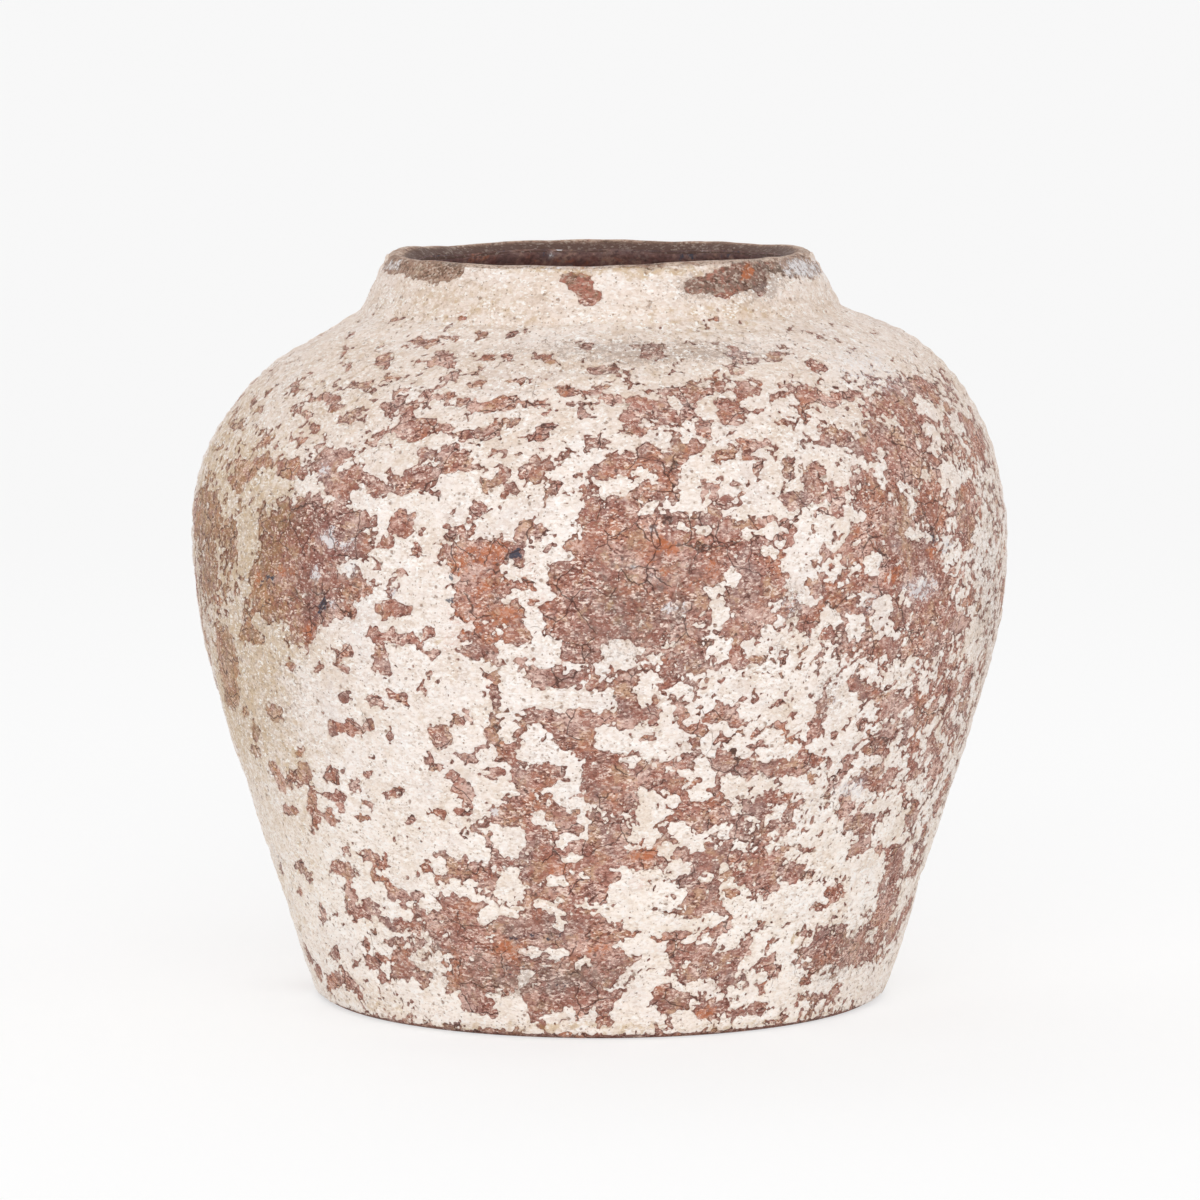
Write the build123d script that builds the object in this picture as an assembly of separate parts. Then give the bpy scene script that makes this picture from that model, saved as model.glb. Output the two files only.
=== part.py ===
from build123d import *
import math
import os

# A squat, wide-mouthed stoneware storage jar, built up by hand from luted clay sections.
# A thin lime coat lies over the clay outside and has flaked off in patches; a thin glaze
# lines the inside. The origin is the centre of the foot, +Z is up and -Y is the front.

# Driving dimensions of the body, in millimetres.
belly_diameter = 400.0
belly_height = 232.0
flare_radius = 300.0
shoulder_radius = 105.0
shoulder_run = 23.5
neck_height = 27.0

# Driving dimensions of the wall, the neck and the lip, in millimetres.
wall_thickness = 11.0
neck_thickness = 15.5
floor_thickness = 16.0
crest_width = 3.0
bevel_drop = 5.0
foot_round = 7.0
lip_round = 5.5
root_round = 4.0
floor_round = 26.0
throat_round = 9.0

# Driving dimensions of the two skins, in millimetres.
coat_thickness = 0.8
glaze_thickness = 0.6
coat_foot_level = 6.0
bare_rim_band = 7.0
glaze_rim_band = 8.0

# Joints between clay sections, in millimetres: two levels above the foot, one rise above the
# widest circle and one drop below the crest. The other joints follow the wall's own curves.
slab_joint_level = 24.0
foot_joint_level = 53.0
shoulder_joint_rise = 60.0
lip_joint_drop = 15.0

# Angles, in degrees: how far the foot's flare leans out from upright, how far the shoulder
# curve turns before its straight slope, how far the neck leans in, and the joints' bevel.
flare_lean = 18.0
shoulder_turn = 64.0
neck_lean = 28.0
joint_bevel = 24.0

# One overrun serves every cut.
overrun = 2.0

# Bare patches in the lime coat. Each row has the azimuth to the right of the front in degrees,
# then shares: the level as a share of the belly height, the width as a share of the belly
# diameter and the height as a share of the belly height, and the name of the outline.
bare_patch_shares = [
    (6.0, 0.985, 0.245, 0.310, "ragged"),
    (-15.5, 0.930, 0.120, 0.235, "blot"),
    (-44.0, 1.000, 0.195, 0.300, "slab"),
    (-32.0, 1.130, 0.110, 0.105, "flag"),
    (4.0, 1.180, 0.160, 0.120, "flag"),
    (49.0, 1.110, 0.150, 0.330, "slab"),
    (29.0, 0.900, 0.110, 0.170, "ragged"),
    (-2.0, 0.640, 0.200, 0.330, "ragged"),
    (-12.0, 0.250, 0.215, 0.205, "slab"),
    (14.0, 0.420, 0.120, 0.225, "blot"),
    (47.0, 0.230, 0.165, 0.110, "flag"),
    (31.0, 0.530, 0.155, 0.205, "blot"),
    (-27.0, 0.520, 0.090, 0.105, "flag"),
    (-68.0, 0.780, 0.080, 0.205, "blot"),
    (74.0, 0.640, 0.120, 0.240, "slab"),
    (96.0, 1.020, 0.200, 0.295, "ragged"),
    (118.0, 0.450, 0.160, 0.345, "slab"),
    (151.0, 0.860, 0.220, 0.275, "ragged"),
    (176.0, 0.330, 0.190, 0.190, "slab"),
    (196.0, 1.060, 0.150, 0.205, "blot"),
    (229.0, 0.360, 0.150, 0.170, "flag"),
    (241.0, 0.960, 0.210, 0.260, "ragged"),
]

# Bare patches that reach down from the lip: azimuth in degrees, width as a share of the
# neck's diameter at its root, and depth as a share of the neck height.
rim_patch_shares = [
    (-56.0, 0.200, 0.400),
    (-6.0, 0.085, 0.800),
    (32.0, 0.210, 0.620),
    (104.0, 0.150, 0.450),
    (168.0, 0.240, 0.700),
    (236.0, 0.130, 0.500),
]

# Flake outlines, as shares of a patch's half width and half height.
flake_outline_shares = {
    "ragged": [(-1.0, 0.1), (-0.62, 0.2), (-0.7, 0.75), (0.05, 1.0), (0.42, 0.66), (0.8, 0.8),
               (1.0, -0.05), (0.64, -0.42), (0.7, -0.86), (-0.18, -1.0), (-0.9, -0.5)],
    "blot": [(-1.0, -0.1), (-0.66, 0.62), (-0.1, 1.0), (0.34, 0.7), (1.0, 0.5), (0.76, -0.2),
             (0.9, -0.8), (0.1, -1.0), (-0.4, -0.62)],
    "slab": [(-0.9, 0.95), (-0.2, 0.7), (0.3, 1.0), (0.95, 0.72), (0.74, 0.1), (1.0, -0.5),
             (0.5, -0.72), (0.28, -1.0), (-0.46, -0.8), (-1.0, -0.45), (-0.8, 0.2)],
    "flag": [(-1.0, 0.3), (-0.3, 1.0), (0.2, 0.4), (1.0, 0.7), (0.7, -0.5), (0.1, -0.3),
             (-0.4, -1.0)],
    "tongue": [(-1.0, 1.0), (1.0, 1.0), (0.8, 0.1), (1.0, -0.4), (0.3, -0.5), (0.1, -1.0),
               (-0.5, -0.8), (-0.4, -0.1), (-0.9, 0.2)],
}

belly_radius = belly_diameter / 2
quarter_turn = 90.0


def direction(angle):
    """Unit vector in the half section, with the angle counted up from level."""
    turn = math.radians(angle)
    return Vector(math.cos(turn), math.sin(turn))


def at_level(point, heading, level):
    """The point where a line through point along heading reaches a level."""
    return point + heading * ((level - point.Y) / heading.Y)


def crossing(first, first_heading, second, second_heading):
    """The point where two lines of the half section cross."""
    gap = second - first
    spread = first_heading.X * second_heading.Y - first_heading.Y * second_heading.X
    reach = (gap.X * second_heading.Y - gap.Y * second_heading.X) / spread
    return first + first_heading * reach


# The outer line of the jar: a straight flare from the foot, tangent to the long belly curve,
# the tight shoulder curve, a short straight slope and the leaning neck.
flare_centre = Vector(belly_radius - flare_radius, belly_height)
shoulder_centre = Vector(belly_radius - shoulder_radius, belly_height)
flare_heading = direction(quarter_turn - flare_lean)
slope_heading = direction(quarter_turn + shoulder_turn)
neck_heading = direction(quarter_turn + neck_lean)
slope_start = shoulder_centre + direction(shoulder_turn) * shoulder_radius
root_corner = slope_start + slope_heading * (shoulder_run / -slope_heading.X)
crest_level = root_corner.Y + neck_height
flare_top_level = belly_height - flare_radius * math.sin(math.radians(flare_lean))


def side_area(depth, neck_depth, low, high):
    """Half section from the axis out to the jar's line set in by depth, between two levels."""
    flare_top = flare_centre + direction(-flare_lean) * (flare_radius - depth)
    flare_foot = at_level(flare_top, flare_heading, low)
    slope_low = shoulder_centre + direction(shoulder_turn) * (shoulder_radius - depth)
    neck_foot = root_corner - direction(neck_lean) * neck_depth
    root = crossing(slope_low, slope_heading, neck_foot, neck_heading)
    neck_top = at_level(neck_foot, neck_heading, high)
    axis_low = Vector(0, low)
    axis_high = Vector(0, high)
    outline = [
        Line(axis_low, flare_foot),
        Line(flare_foot, flare_top),
        CenterArc(flare_centre, flare_radius - depth, -flare_lean, flare_lean),
        CenterArc(shoulder_centre, shoulder_radius - depth, 0, shoulder_turn),
        Line(slope_low, root),
        Line(root, neck_top),
        Line(neck_top, axis_high),
        Line(axis_high, axis_low),
    ]
    return make_face(outline), flare_foot, root, neck_top


def rounded(area, corner, radius):
    """The area with the corner nearest to a point rounded off."""
    return fillet(area.vertices().sort_by_distance(corner)[0], radius)


def body_area(depth):
    """Half section of everything inside the outer face set in by depth."""
    area, foot, root, lip = side_area(depth, depth, 0, crest_level)
    area = rounded(area, foot, foot_round - depth)
    area = rounded(area, root, root_round + depth)
    return rounded(area, lip, lip_round - depth)


def neck_radius(depth, level):
    """Radius of the neck's line set in by depth, at a level."""
    return at_level(root_corner - direction(neck_lean) * depth, neck_heading, level).X


def crest_inner_radius():
    """Inner radius of the flat crest, which starts where the lip's outer round ends."""
    round_run = lip_round * math.tan(math.radians(quarter_turn - neck_lean) / 2)
    return neck_radius(0, crest_level) - round_run - crest_width


def cavity_area(skin):
    """Half section of the hollow inside the clay, less a skin laid on its walls."""
    depth = wall_thickness + skin
    neck_depth = neck_thickness + skin
    floor_level = floor_thickness + skin
    bevel_level = crest_level - bevel_drop
    area, floor_corner, throat, mouth = side_area(depth, neck_depth, floor_level, bevel_level)
    area = rounded(area, floor_corner, floor_round - skin)
    area = rounded(area, throat, throat_round + skin)
    bevel = make_face(Polyline(
        (0, bevel_level),
        (mouth.X, bevel_level),
        (crest_inner_radius(), crest_level),
        (crest_inner_radius(), crest_level + overrun),
        (0, crest_level + overrun),
        close=True,
    ))
    return area + bevel


def outer_point(level):
    """Where a level comes out on the clay's outer face."""
    if level > root_corner.Y:
        return Vector(neck_radius(coat_thickness, level), level)
    if level < flare_top_level:
        tangent = flare_centre + direction(-flare_lean) * (flare_radius - coat_thickness)
        return at_level(tangent, flare_heading, level)
    centre, radius = flare_centre, flare_radius - coat_thickness
    if level > belly_height:
        centre, radius = shoulder_centre, shoulder_radius - coat_thickness
    return Vector(centre.X + math.sqrt(radius ** 2 - (level - belly_height) ** 2), level)


def face_tilt(level):
    """How far the outer face looks up from level at a height, in degrees."""
    if level > root_corner.Y:
        return neck_lean
    if level < flare_top_level:
        return -flare_lean
    if level < belly_height:
        return -math.degrees(math.asin((belly_height - level) / flare_radius))
    return min(math.degrees(math.asin((level - belly_height) / shoulder_radius)), shoulder_turn)


def joint_line(point, slope):
    """A joint from inside the hollow to just outside a point, rising inwards in degrees."""
    rise = math.tan(math.radians(slope))
    inner = neck_radius(neck_thickness, crest_level) / 2
    return (
        (inner, point.Y + (point.X - inner) * rise),
        (point.X + overrun, point.Y - overrun * rise),
    )


def square_joint(level):
    """A joint square to the outer face at a level."""
    return joint_line(outer_point(level), -face_tilt(level))


def band(lower, upper):
    """Area between two joints, from inside the hollow to beyond the wall."""
    return make_face(Polyline(
        lower[0],
        lower[1],
        (belly_diameter, lower[1][1]),
        (belly_diameter, upper[1][1]),
        upper[1],
        upper[0],
        close=True,
    ))


def slab_band(upper):
    """Area below a joint, from the axis to beyond the wall."""
    return make_face(Polyline(
        (0, -overrun),
        (belly_diameter, -overrun),
        (belly_diameter, upper[1][1]),
        upper[1],
        upper[0],
        (0, upper[0][1]),
        close=True,
    ))


def turned(section):
    """The solid that a half section makes when it is turned about the jar's axis."""
    return revolve(Plane.XZ * section, Axis.Z)


def clay_sections():
    """The potter's sections, from the base slab up to the lip, meeting at bevelled joints."""
    clay = body_area(coat_thickness) - cavity_area(0)
    throat = side_area(wall_thickness, neck_thickness, 0, crest_level)[2]
    clay_root = side_area(coat_thickness, coat_thickness, 0, crest_level)[2]
    throat_fall = math.degrees(math.atan2(clay_root.Y - throat.Y, clay_root.X - throat.X))
    slab_joint = joint_line(outer_point(slab_joint_level), joint_bevel)
    foot_joint = joint_line(outer_point(foot_joint_level), joint_bevel)
    lower_joint = joint_line(outer_point(flare_top_level), joint_bevel)
    belly_joint = joint_line(outer_point(belly_height), joint_bevel)
    shoulder_joint = square_joint(belly_height + shoulder_joint_rise)
    root_joint = joint_line(clay_root, -throat_fall)
    lip_joint = joint_line(outer_point(crest_level - lip_joint_drop), joint_bevel)
    above = joint_line(Vector(belly_radius, crest_level + belly_radius), 0)
    return {
        "base_slab": turned(clay & slab_band(slab_joint)),
        "foot_wall": turned(clay & band(slab_joint, foot_joint)),
        "lower_wall": turned(clay & band(foot_joint, lower_joint)),
        "belly_wall": turned(clay & band(lower_joint, belly_joint)),
        "shoulder_wall": turned(clay & band(belly_joint, shoulder_joint)),
        "upper_shoulder": turned(clay & band(shoulder_joint, root_joint)),
        "neck_collar": turned(clay & band(root_joint, lip_joint)),
        "rim_lip": turned(clay & band(lip_joint, above)),
    }


def glaze_lining():
    """The thin glaze that lines the hollow, up to just under the lip."""
    lining = cavity_area(0) - cavity_area(glaze_thickness)
    top = crest_level - glaze_rim_band
    below_lip = Rectangle(belly_diameter, top, align=(Align.MIN, Align.MIN))
    return turned(lining & below_lip)


def flake_prism(azimuth, level, tilt, width, height, outline):
    """A prism square to the jar's face that cuts one bare patch through the coat."""
    points = [(x * width / 2, y * height / 2) for x, y in flake_outline_shares[outline]]
    face = make_face(Polyline(*points, close=True))
    turn = math.radians(azimuth)
    tip = math.radians(tilt)
    outward = (math.sin(turn) * math.cos(tip), -math.cos(turn) * math.cos(tip), math.sin(tip))
    along = (math.cos(turn), math.sin(turn), 0)
    radius = outer_point(level).X - shoulder_radius / 2
    origin = Vector(math.sin(turn) * radius, -math.cos(turn) * radius, level)
    origin -= Vector(0, 0, math.tan(tip) * shoulder_radius / 2)
    return extrude(Plane(origin, x_dir=along, z_dir=outward) * face, shoulder_radius)


def bare_patches():
    """Prisms for every bare patch on the wall."""
    prisms = []
    for azimuth, level_share, width_share, height_share, outline in bare_patch_shares:
        level = level_share * belly_height
        width = width_share * belly_diameter
        height = height_share * belly_height
        prisms.append(flake_prism(azimuth, level, face_tilt(level), width, height, outline))
    return prisms


def rim_patches():
    """Prisms for the bare patches that hang from the lip."""
    prisms = []
    for azimuth, width_share, depth_share in rim_patch_shares:
        width = width_share * root_corner.X * 2
        height = depth_share * neck_height * 2
        prisms.append(flake_prism(azimuth, crest_level, 0, width, height, "tongue"))
    return prisms


def lime_coats():
    """The lime coat in bands, each as thick as the clay is set in, with its bare patches cut."""
    skin = body_area(0) - body_area(coat_thickness)
    wall_prisms = bare_patches()
    edges = {
        "lime_coat_foot": square_joint(coat_foot_level),
        "lime_coat_lower": square_joint(foot_joint_level),
        "lime_coat_belly": square_joint(flare_top_level),
        "lime_coat_shoulder": square_joint(belly_height),
        "lime_coat_neck": joint_line(root_corner, 0),
    }
    names = list(edges)
    tops = [edges[name] for name in names[1:]] + [square_joint(crest_level - bare_rim_band)]
    coats = {}
    for name, top in zip(names, tops):
        prisms = rim_patches() if name == "lime_coat_neck" else wall_prisms
        coats[name] = turned(skin & band(edges[name], top)) - prisms
    return coats


os.makedirs("parts", exist_ok=True)
pieces = clay_sections()
pieces["inner_glaze"] = glaze_lining()
pieces.update(lime_coats())
for node, piece in pieces.items():
    export_step(piece, f"parts/{node}.step")
print("height", crest_level, "crest", crest_inner_radius())
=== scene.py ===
import math

import bpy
import numpy as np
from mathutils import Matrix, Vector


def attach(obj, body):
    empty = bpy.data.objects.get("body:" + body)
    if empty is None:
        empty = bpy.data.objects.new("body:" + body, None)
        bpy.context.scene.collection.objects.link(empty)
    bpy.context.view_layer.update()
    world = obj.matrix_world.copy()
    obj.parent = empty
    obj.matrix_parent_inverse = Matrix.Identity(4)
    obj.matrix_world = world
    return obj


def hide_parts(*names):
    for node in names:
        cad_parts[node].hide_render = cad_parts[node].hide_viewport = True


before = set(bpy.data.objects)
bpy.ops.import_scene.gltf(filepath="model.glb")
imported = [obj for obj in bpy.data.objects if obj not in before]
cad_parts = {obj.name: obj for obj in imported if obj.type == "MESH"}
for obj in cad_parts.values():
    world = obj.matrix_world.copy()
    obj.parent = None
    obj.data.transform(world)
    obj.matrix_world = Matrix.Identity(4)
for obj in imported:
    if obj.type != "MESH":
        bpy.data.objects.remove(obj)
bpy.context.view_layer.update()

# A squat stoneware storage jar, built up by hand from luted clay sections, with a lime coat
# that has flaked off in patches. Sizes are in metres; the front is -Y and turns count in
# radians from the front to the right.

# Where the lime coat holds and where it has flaked, read off the front view. Each row is
# the place x, y and the half width and half height in the photo's pixels, the turn in degrees
# counted clockwise, and how firmly the coat holds there: 2 is unbroken, 0 is half gone, -2 bare.
COAT_ROWS = (
    # Broad areas.
    (300, 470, 120, 34, 0, 0.4), (575, 482, 80, 22, 0, 0.0), (760, 440, 110, 40, 0, 0.8),
    (930, 560, 70, 150, 0, -0.1), (985, 560, 22, 120, 0, 0.0), (210, 560, 22, 70, 0, 0.1),
    (320, 800, 135, 180, 0, 1.9), (395, 560, 50, 95, 0, 1.3), (480, 700, 60, 50, 0, 1.6),
    (545, 820, 105, 110, 0, -0.2), (470, 770, 48, 55, 0, 1.7), (800, 670, 100, 38, 0, 0.6),
    (690, 670, 45, 34, 0, -0.5), (815, 530, 42, 34, 0, 1.6), (765, 495, 34, 32, 0, 1.6),
    (712, 498, 32, 32, 0, 1.2), (620, 720, 60, 40, 0, -0.3), (530, 950, 112, 40, 0, -2.1),
    (480, 510, 60, 30, 0, 1.5), (270, 680, 44, 60, 0, 1.7), (560, 1010, 90, 20, 0, -0.6),
    # Neck and lip.
    (560, 262, 100, 4, 1, -0.8), (655, 265, 50, 4, 0, -0.7), (402, 264, 30, 12, 10, -2.9),
    (430, 268, 32, 14, 6, -2.9), (470, 262, 16, 4, 2, -2.0), (452, 270, 14, 10, -24, -2.9),
    (577, 279, 15, 7, 0, -2.9), (583, 289, 15, 9, 30, -2.9), (588, 300, 11, 6, 10, -2.9),
    (598, 296, 6, 5, 0, -2.7), (740, 272, 32, 9, -8, -3.2), (704, 285, 19, 9, -14, -3.2),
    (694, 289, 14, 4, 8, -3.2), (722, 288, 14, 13, 12, -3.2), (758, 284, 10, 12, 0, -3.2),
    (742, 281, 13, 10, 0, -3.2), (741, 299, 7, 5, 0, 2.4), (800, 267, 26, 12, 0, -2.4),
    (463, 319, 5, 2, 0, -1.6), (398, 320, 8, 2, 0, -1.0), (404, 281, 3, 2, 0, -1.4),
    (713, 320, 6, 4, 0, -1.2),
    # Upper shoulder, flecks in rows along the finger ridges.
    (424, 343, 18, 4, -5, -1.3), (450, 337, 12, 3, 0, -1.2), (482, 334, 7, 3, 0, -1.1),
    (512, 333, 11, 3, -10, -1.2), (386, 356, 10, 5, -40, -1.3), (383, 364, 8, 3, 0, -1.2),
    (445, 358, 12, 9, 0, -0.9), (486, 357, 11, 4, 0, -1.0), (508, 358, 5, 4, 0, -0.9),
    (552, 362, 10, 4, 20, -1.3), (545, 342, 7, 3, 0, -0.9), (586, 349, 6, 4, 0, -0.9),
    (455, 368, 8, 3, 0, -1.1), (456, 376, 9, 4, 0, -1.1), (598, 373, 25, 4, -3, -1.5),
    (650, 351, 15, 7, 0, -1.2), (632, 377, 6, 3, 0, -1.1), (740, 351, 14, 4, 8, -1.4),
    (712, 343, 8, 2, 0, -1.1), (736, 372, 6, 3, 0, -1.4), (775, 358, 10, 4, 0, -0.8),
    (820, 370, 12, 5, 10, -1.1), (357, 387, 15, 3, -20, -1.2), (322, 397, 20, 4, 0, -1.3),
    (337, 405, 8, 6, 0, -1.4), (352, 414, 13, 3, -30, -1.2), (371, 392, 9, 4, -30, -1.3),
    (393, 406, 15, 6, -15, -1.6), (412, 411, 7, 11, 30, -1.6), (397, 378, 15, 3, 0, -1.3),
    (422, 360, 16, 3, 0, -1.3), (346, 365, 6, 3, 30, -1.2), (450, 381, 13, 3, 3, -1.5),
    (475, 385, 10, 4, 0, -1.4), (511, 382, 10, 2, 0, -1.4), (580, 394, 24, 3, 5, -1.5),
    (446, 398, 18, 4, 0, -1.4), (473, 404, 18, 4, 8, -1.6), (505, 403, 19, 5, -10, -1.7),
    (534, 405, 19, 4, 5, -1.6), (568, 405, 8, 3, 0, -1.3), (549, 413, 6, 5, 0, -1.5),
    (586, 417, 7, 5, 0, -1.2), (615, 399, 10, 4, 0, -1.4), (645, 403, 20, 5, 3, -1.6),
    (636, 420, 16, 8, 0, -1.8), (655, 425, 5, 4, 0, -1.3), (690, 390, 38, 7, 0, -1.8),
    (748, 390, 13, 8, -20, -1.7), (682, 412, 30, 11, 0, -1.3), (728, 412, 14, 15, 0, -1.6),
    (705, 410, 12, 8, 0, 1.7), (780, 413, 6, 3, 0, -1.2), (790, 393, 12, 3, 0, -1.5),
    (812, 396, 20, 9, 10, -1.5), (807, 413, 10, 8, 0, -1.3), (843, 402, 28, 11, 10, -0.8),
    (848, 441, 28, 9, 28, -2.1), (892, 420, 24, 28, 20, -1.2), (905, 455, 22, 15, 0, -1.8),
    (950, 445, 14, 26, 0, -0.1), (977, 440, 10, 26, -20, -1.1), (900, 385, 16, 9, 30, -1.0),
    (927, 390, 17, 9, 35, -1.0), (860, 380, 20, 6, 10, -0.5), (945, 380, 22, 7, 50, -0.5),
    # Lower shoulder.
    (410, 432, 19, 9, -8, -1.8), (425, 394, 6, 5, 0, -1.1), (330, 462, 22, 13, -10, -1.4),
    (290, 472, 15, 11, 0, -1.5), (258, 466, 15, 7, -30, -1.3), (240, 475, 8, 14, 20, -1.5),
    (306, 415, 5, 5, 0, -1.1), (317, 430, 6, 6, 0, -1.2), (268, 441, 9, 4, -30, -1.2),
    (475, 436, 21, 4, 0, -1.9), (440, 427, 14, 4, 22, -1.4), (505, 420, 5, 3, 0, -1.2),
    (516, 423, 6, 4, 0, -1.4), (543, 434, 6, 9, 0, -1.4), (595, 440, 13, 5, 10, -1.4),
    (668, 461, 24, 12, 0, -1.5),
    # Left of the belly.
    (242, 476, 9, 14, 20, -1.6), (270, 488, 26, 12, 0, 1.2), (306, 486, 10, 8, 0, 1.9),
    (327, 497, 10, 8, 0, 1.9), (312, 550, 50, 50, 0, -2.4), (298, 596, 40, 30, 0, -1.9),
    (306, 632, 15, 13, 0, -2.0), (345, 522, 26, 22, 0, -2.1), (347, 588, 24, 22, 0, -1.2),
    (338, 611, 22, 8, -8, -1.7), (265, 592, 12, 20, -25, -1.5), (247, 538, 12, 22, 0, 1.5),
    (206, 516, 13, 26, 0, -1.4), (210, 576, 8, 28, 0, -1.1), (230, 540, 8, 24, 0, -0.8),
    (252, 636, 15, 8, 10, -1.9), (249, 614, 6, 13, 0, -0.9), (229, 662, 10, 36, -8, -2.1),
    (233, 698, 9, 12, -8, -1.8), (390, 638, 22, 6, 5, -2.0), (378, 660, 7, 16, 0, -1.7),
    (386, 668, 6, 7, 0, -1.4), (289, 642, 4, 7, 0, -1.6), (309, 651, 3, 5, 0, -1.3),
    (290, 665, 5, 6, 0, -1.7), (318, 669, 4, 7, 20, -1.5), (342, 669, 10, 4, 40, -1.4),
    (345, 697, 7, 5, 0, -1.6), (398, 697, 11, 6, 20, -1.7), (373, 697, 9, 5, 20, -1.4),
    # Left of the middle.
    (470, 556, 30, 14, 0, -2.2), (505, 552, 26, 12, 0, -2.2), (480, 586, 24, 36, 0, -2.3),
    (503, 603, 20, 26, 0, -1.6), (500, 634, 30, 20, 0, -1.2), (487, 655, 28, 7, 12, -1.7),
    # The biggest bare area, in the middle of the belly.
    (655, 560, 92, 60, 0, -2.6), (592, 600, 48, 44, 0, -2.6), (640, 515, 60, 14, 0, -1.8),
    (722, 565, 58, 36, 0, -2.3), (760, 572, 24, 32, 0, -2.3), (585, 650, 24, 12, 0, -2.1),
    (558, 680, 26, 9, 3, -2.0), (740, 622, 30, 18, 0, -2.1), (806, 500, 26, 4, 0, -1.7),
    (770, 523, 24, 5, 0, -1.2), (772, 536, 24, 4, 0, -1.4),
    # Right of the middle.
    (857, 538, 8, 16, 0, -1.9), (862, 550, 22, 8, 0, -2.0), (870, 500, 14, 22, -20, -1.8),
    (838, 605, 22, 6, 3, -1.7), (866, 584, 22, 9, 5, -1.7), (843, 622, 34, 9, 0, 1.6),
    (866, 625, 4, 15, 0, -1.9), (876, 646, 18, 8, 0, -1.7), (740, 666, 11, 12, 0, -1.6),
    (905, 480, 14, 15, 0, -1.7), (903, 500, 9, 16, 0, 1.7), (890, 522, 25, 26, 0, -2.2),
    (932, 505, 16, 24, 0, -1.5), (911, 536, 8, 6, -30, 1.9), (950, 478, 9, 14, 0, 1.6),
    (965, 512, 10, 28, 0, -1.5), (908, 562, 30, 22, 0, -2.1), (872, 562, 8, 11, 0, 1.8),
    (932, 590, 20, 10, -20, -1.8), (950, 562, 10, 14, 0, 0.8), (984, 545, 9, 34, 0, 0.8),
    (900, 614, 8, 12, 20, -1.7), (882, 615, 9, 18, 0, 1.7), (930, 620, 20, 22, 0, -1.8),
    (958, 625, 8, 14, 0, -1.9), (972, 640, 9, 20, 0, 1.3), (900, 650, 20, 8, 0, -1.6),
    (926, 650, 7, 12, 20, -1.5),
    # Lower right.
    (678, 1003, 24, 10, 0, -1.9), (720, 1010, 26, 10, 0, -1.9), (725, 1015, 7, 3, 0, 1.6),
    (756, 1009, 16, 9, 0, -1.7), (879, 912, 9, 34, 22, -2.0), (898, 915, 8, 28, 22, -1.5),
    (850, 981, 42, 12, -12, 2.2), (868, 968, 6, 12, 0, -1.8), (815, 999, 18, 5, 0, -1.9),
    (838, 992, 4, 8, 0, -1.7), (905, 890, 5, 26, 22, 1.5),
    # Lower middle.
    (572, 730, 20, 22, 0, -2.3), (636, 712, 24, 8, 10, -1.7), (605, 775, 34, 22, 0, -2.5),
    (640, 778, 24, 8, 0, -2.3), (538, 777, 26, 10, 0, -2.2), (530, 817, 42, 22, 0, -2.4),
    (500, 845, 26, 18, 0, 2.3), (508, 861, 13, 6, 10, -2.3), (455, 846, 26, 9, 22, 2.1),
    (470, 870, 34, 9, 24, -2.5), (437, 867, 10, 10, 0, 2.0), (441, 882, 6, 7, 0, -1.8),
    (466, 892, 24, 5, 20, 2.0), (511, 882, 12, 15, 0, 2.2), (590, 868, 62, 38, 0, -2.5),
    (572, 857, 13, 4, 0, 2.0), (557, 881, 10, 5, 0, 2.0), (569, 872, 7, 3, 0, 1.6),
    (586, 873, 6, 3, 0, 1.5), (640, 884, 24, 14, 0, 2.3), (620, 868, 10, 5, 30, 1.9),
    (612, 890, 8, 7, 0, 1.4), (613, 912, 13, 9, 0, 2.3), (630, 905, 12, 7, 30, 2.2),
    (633, 912, 8, 4, 40, -1.8), (452, 908, 26, 12, 0, -2.2), (430, 905, 12, 8, 20, 1.7),
    (490, 916, 10, 12, 0, 2.0), (512, 912, 12, 6, 0, 1.9), (540, 930, 68, 12, 0, -2.5),
    (548, 905, 13, 7, 0, 2.0), (561, 920, 6, 7, 0, 1.8), (590, 903, 14, 3, 0, 1.6),
    (625, 931, 26, 7, 3, -2.3), (488, 938, 6, 3, 0, 1.8), (534, 951, 11, 4, 12, 2.1),
    (556, 953, 11, 6, 30, 2.0), (546, 964, 9, 3, 0, 1.8), (584, 964, 12, 5, -25, 1.8),
    (527, 974, 8, 7, 0, 2.4), (527, 987, 6, 6, 0, 2.0), (509, 971, 3, 3, 0, 1.7),
    (470, 959, 3, 3, 0, 1.6), (441, 974, 13, 16, -30, 1.7), (432, 992, 20, 10, 0, 1.9),
    (424, 960, 12, 12, 0, 0.5), (444, 955, 14, 4, 20, 1.3), (478, 985, 30, 16, 0, -2.3),
    (496, 995, 7, 6, 0, 2.2), (512, 1008, 18, 9, 10, 2.2), (437, 1008, 18, 9, 0, 2.2),
    (451, 1005, 7, 9, 0, 1.9), (474, 1005, 17, 7, 10, -1.9), (470, 1015, 18, 3, 5, 1.9),
    (560, 999, 56, 14, 0, -2.3), (551, 1016, 12, 4, 0, 1.7), (590, 1014, 13, 5, 0, 1.8),
    (567, 1013, 8, 4, 0, 1.4), (640, 1010, 24, 13, 0, 2.4), (640, 946, 22, 8, 0, 2.1),
    (605, 968, 16, 16, 0, -2.2), (605, 1010, 8, 7, 0, -2.0),
    # Lower left, where the coat is sound between sharp flakes.
    (275, 711, 9, 7, 35, -2.3), (247, 712, 5, 5, 0, -1.6), (257, 729, 4, 10, -12, -1.5),
    (258, 749, 7, 5, 30, -1.9), (302, 753, 4, 6, 0, -2.0), (351, 729, 10, 9, 25, -2.6),
    (335, 729, 8, 5, 0, -1.8), (367, 727, 7, 7, 30, -2.2), (391, 736, 4, 7, 0, -1.7),
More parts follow.
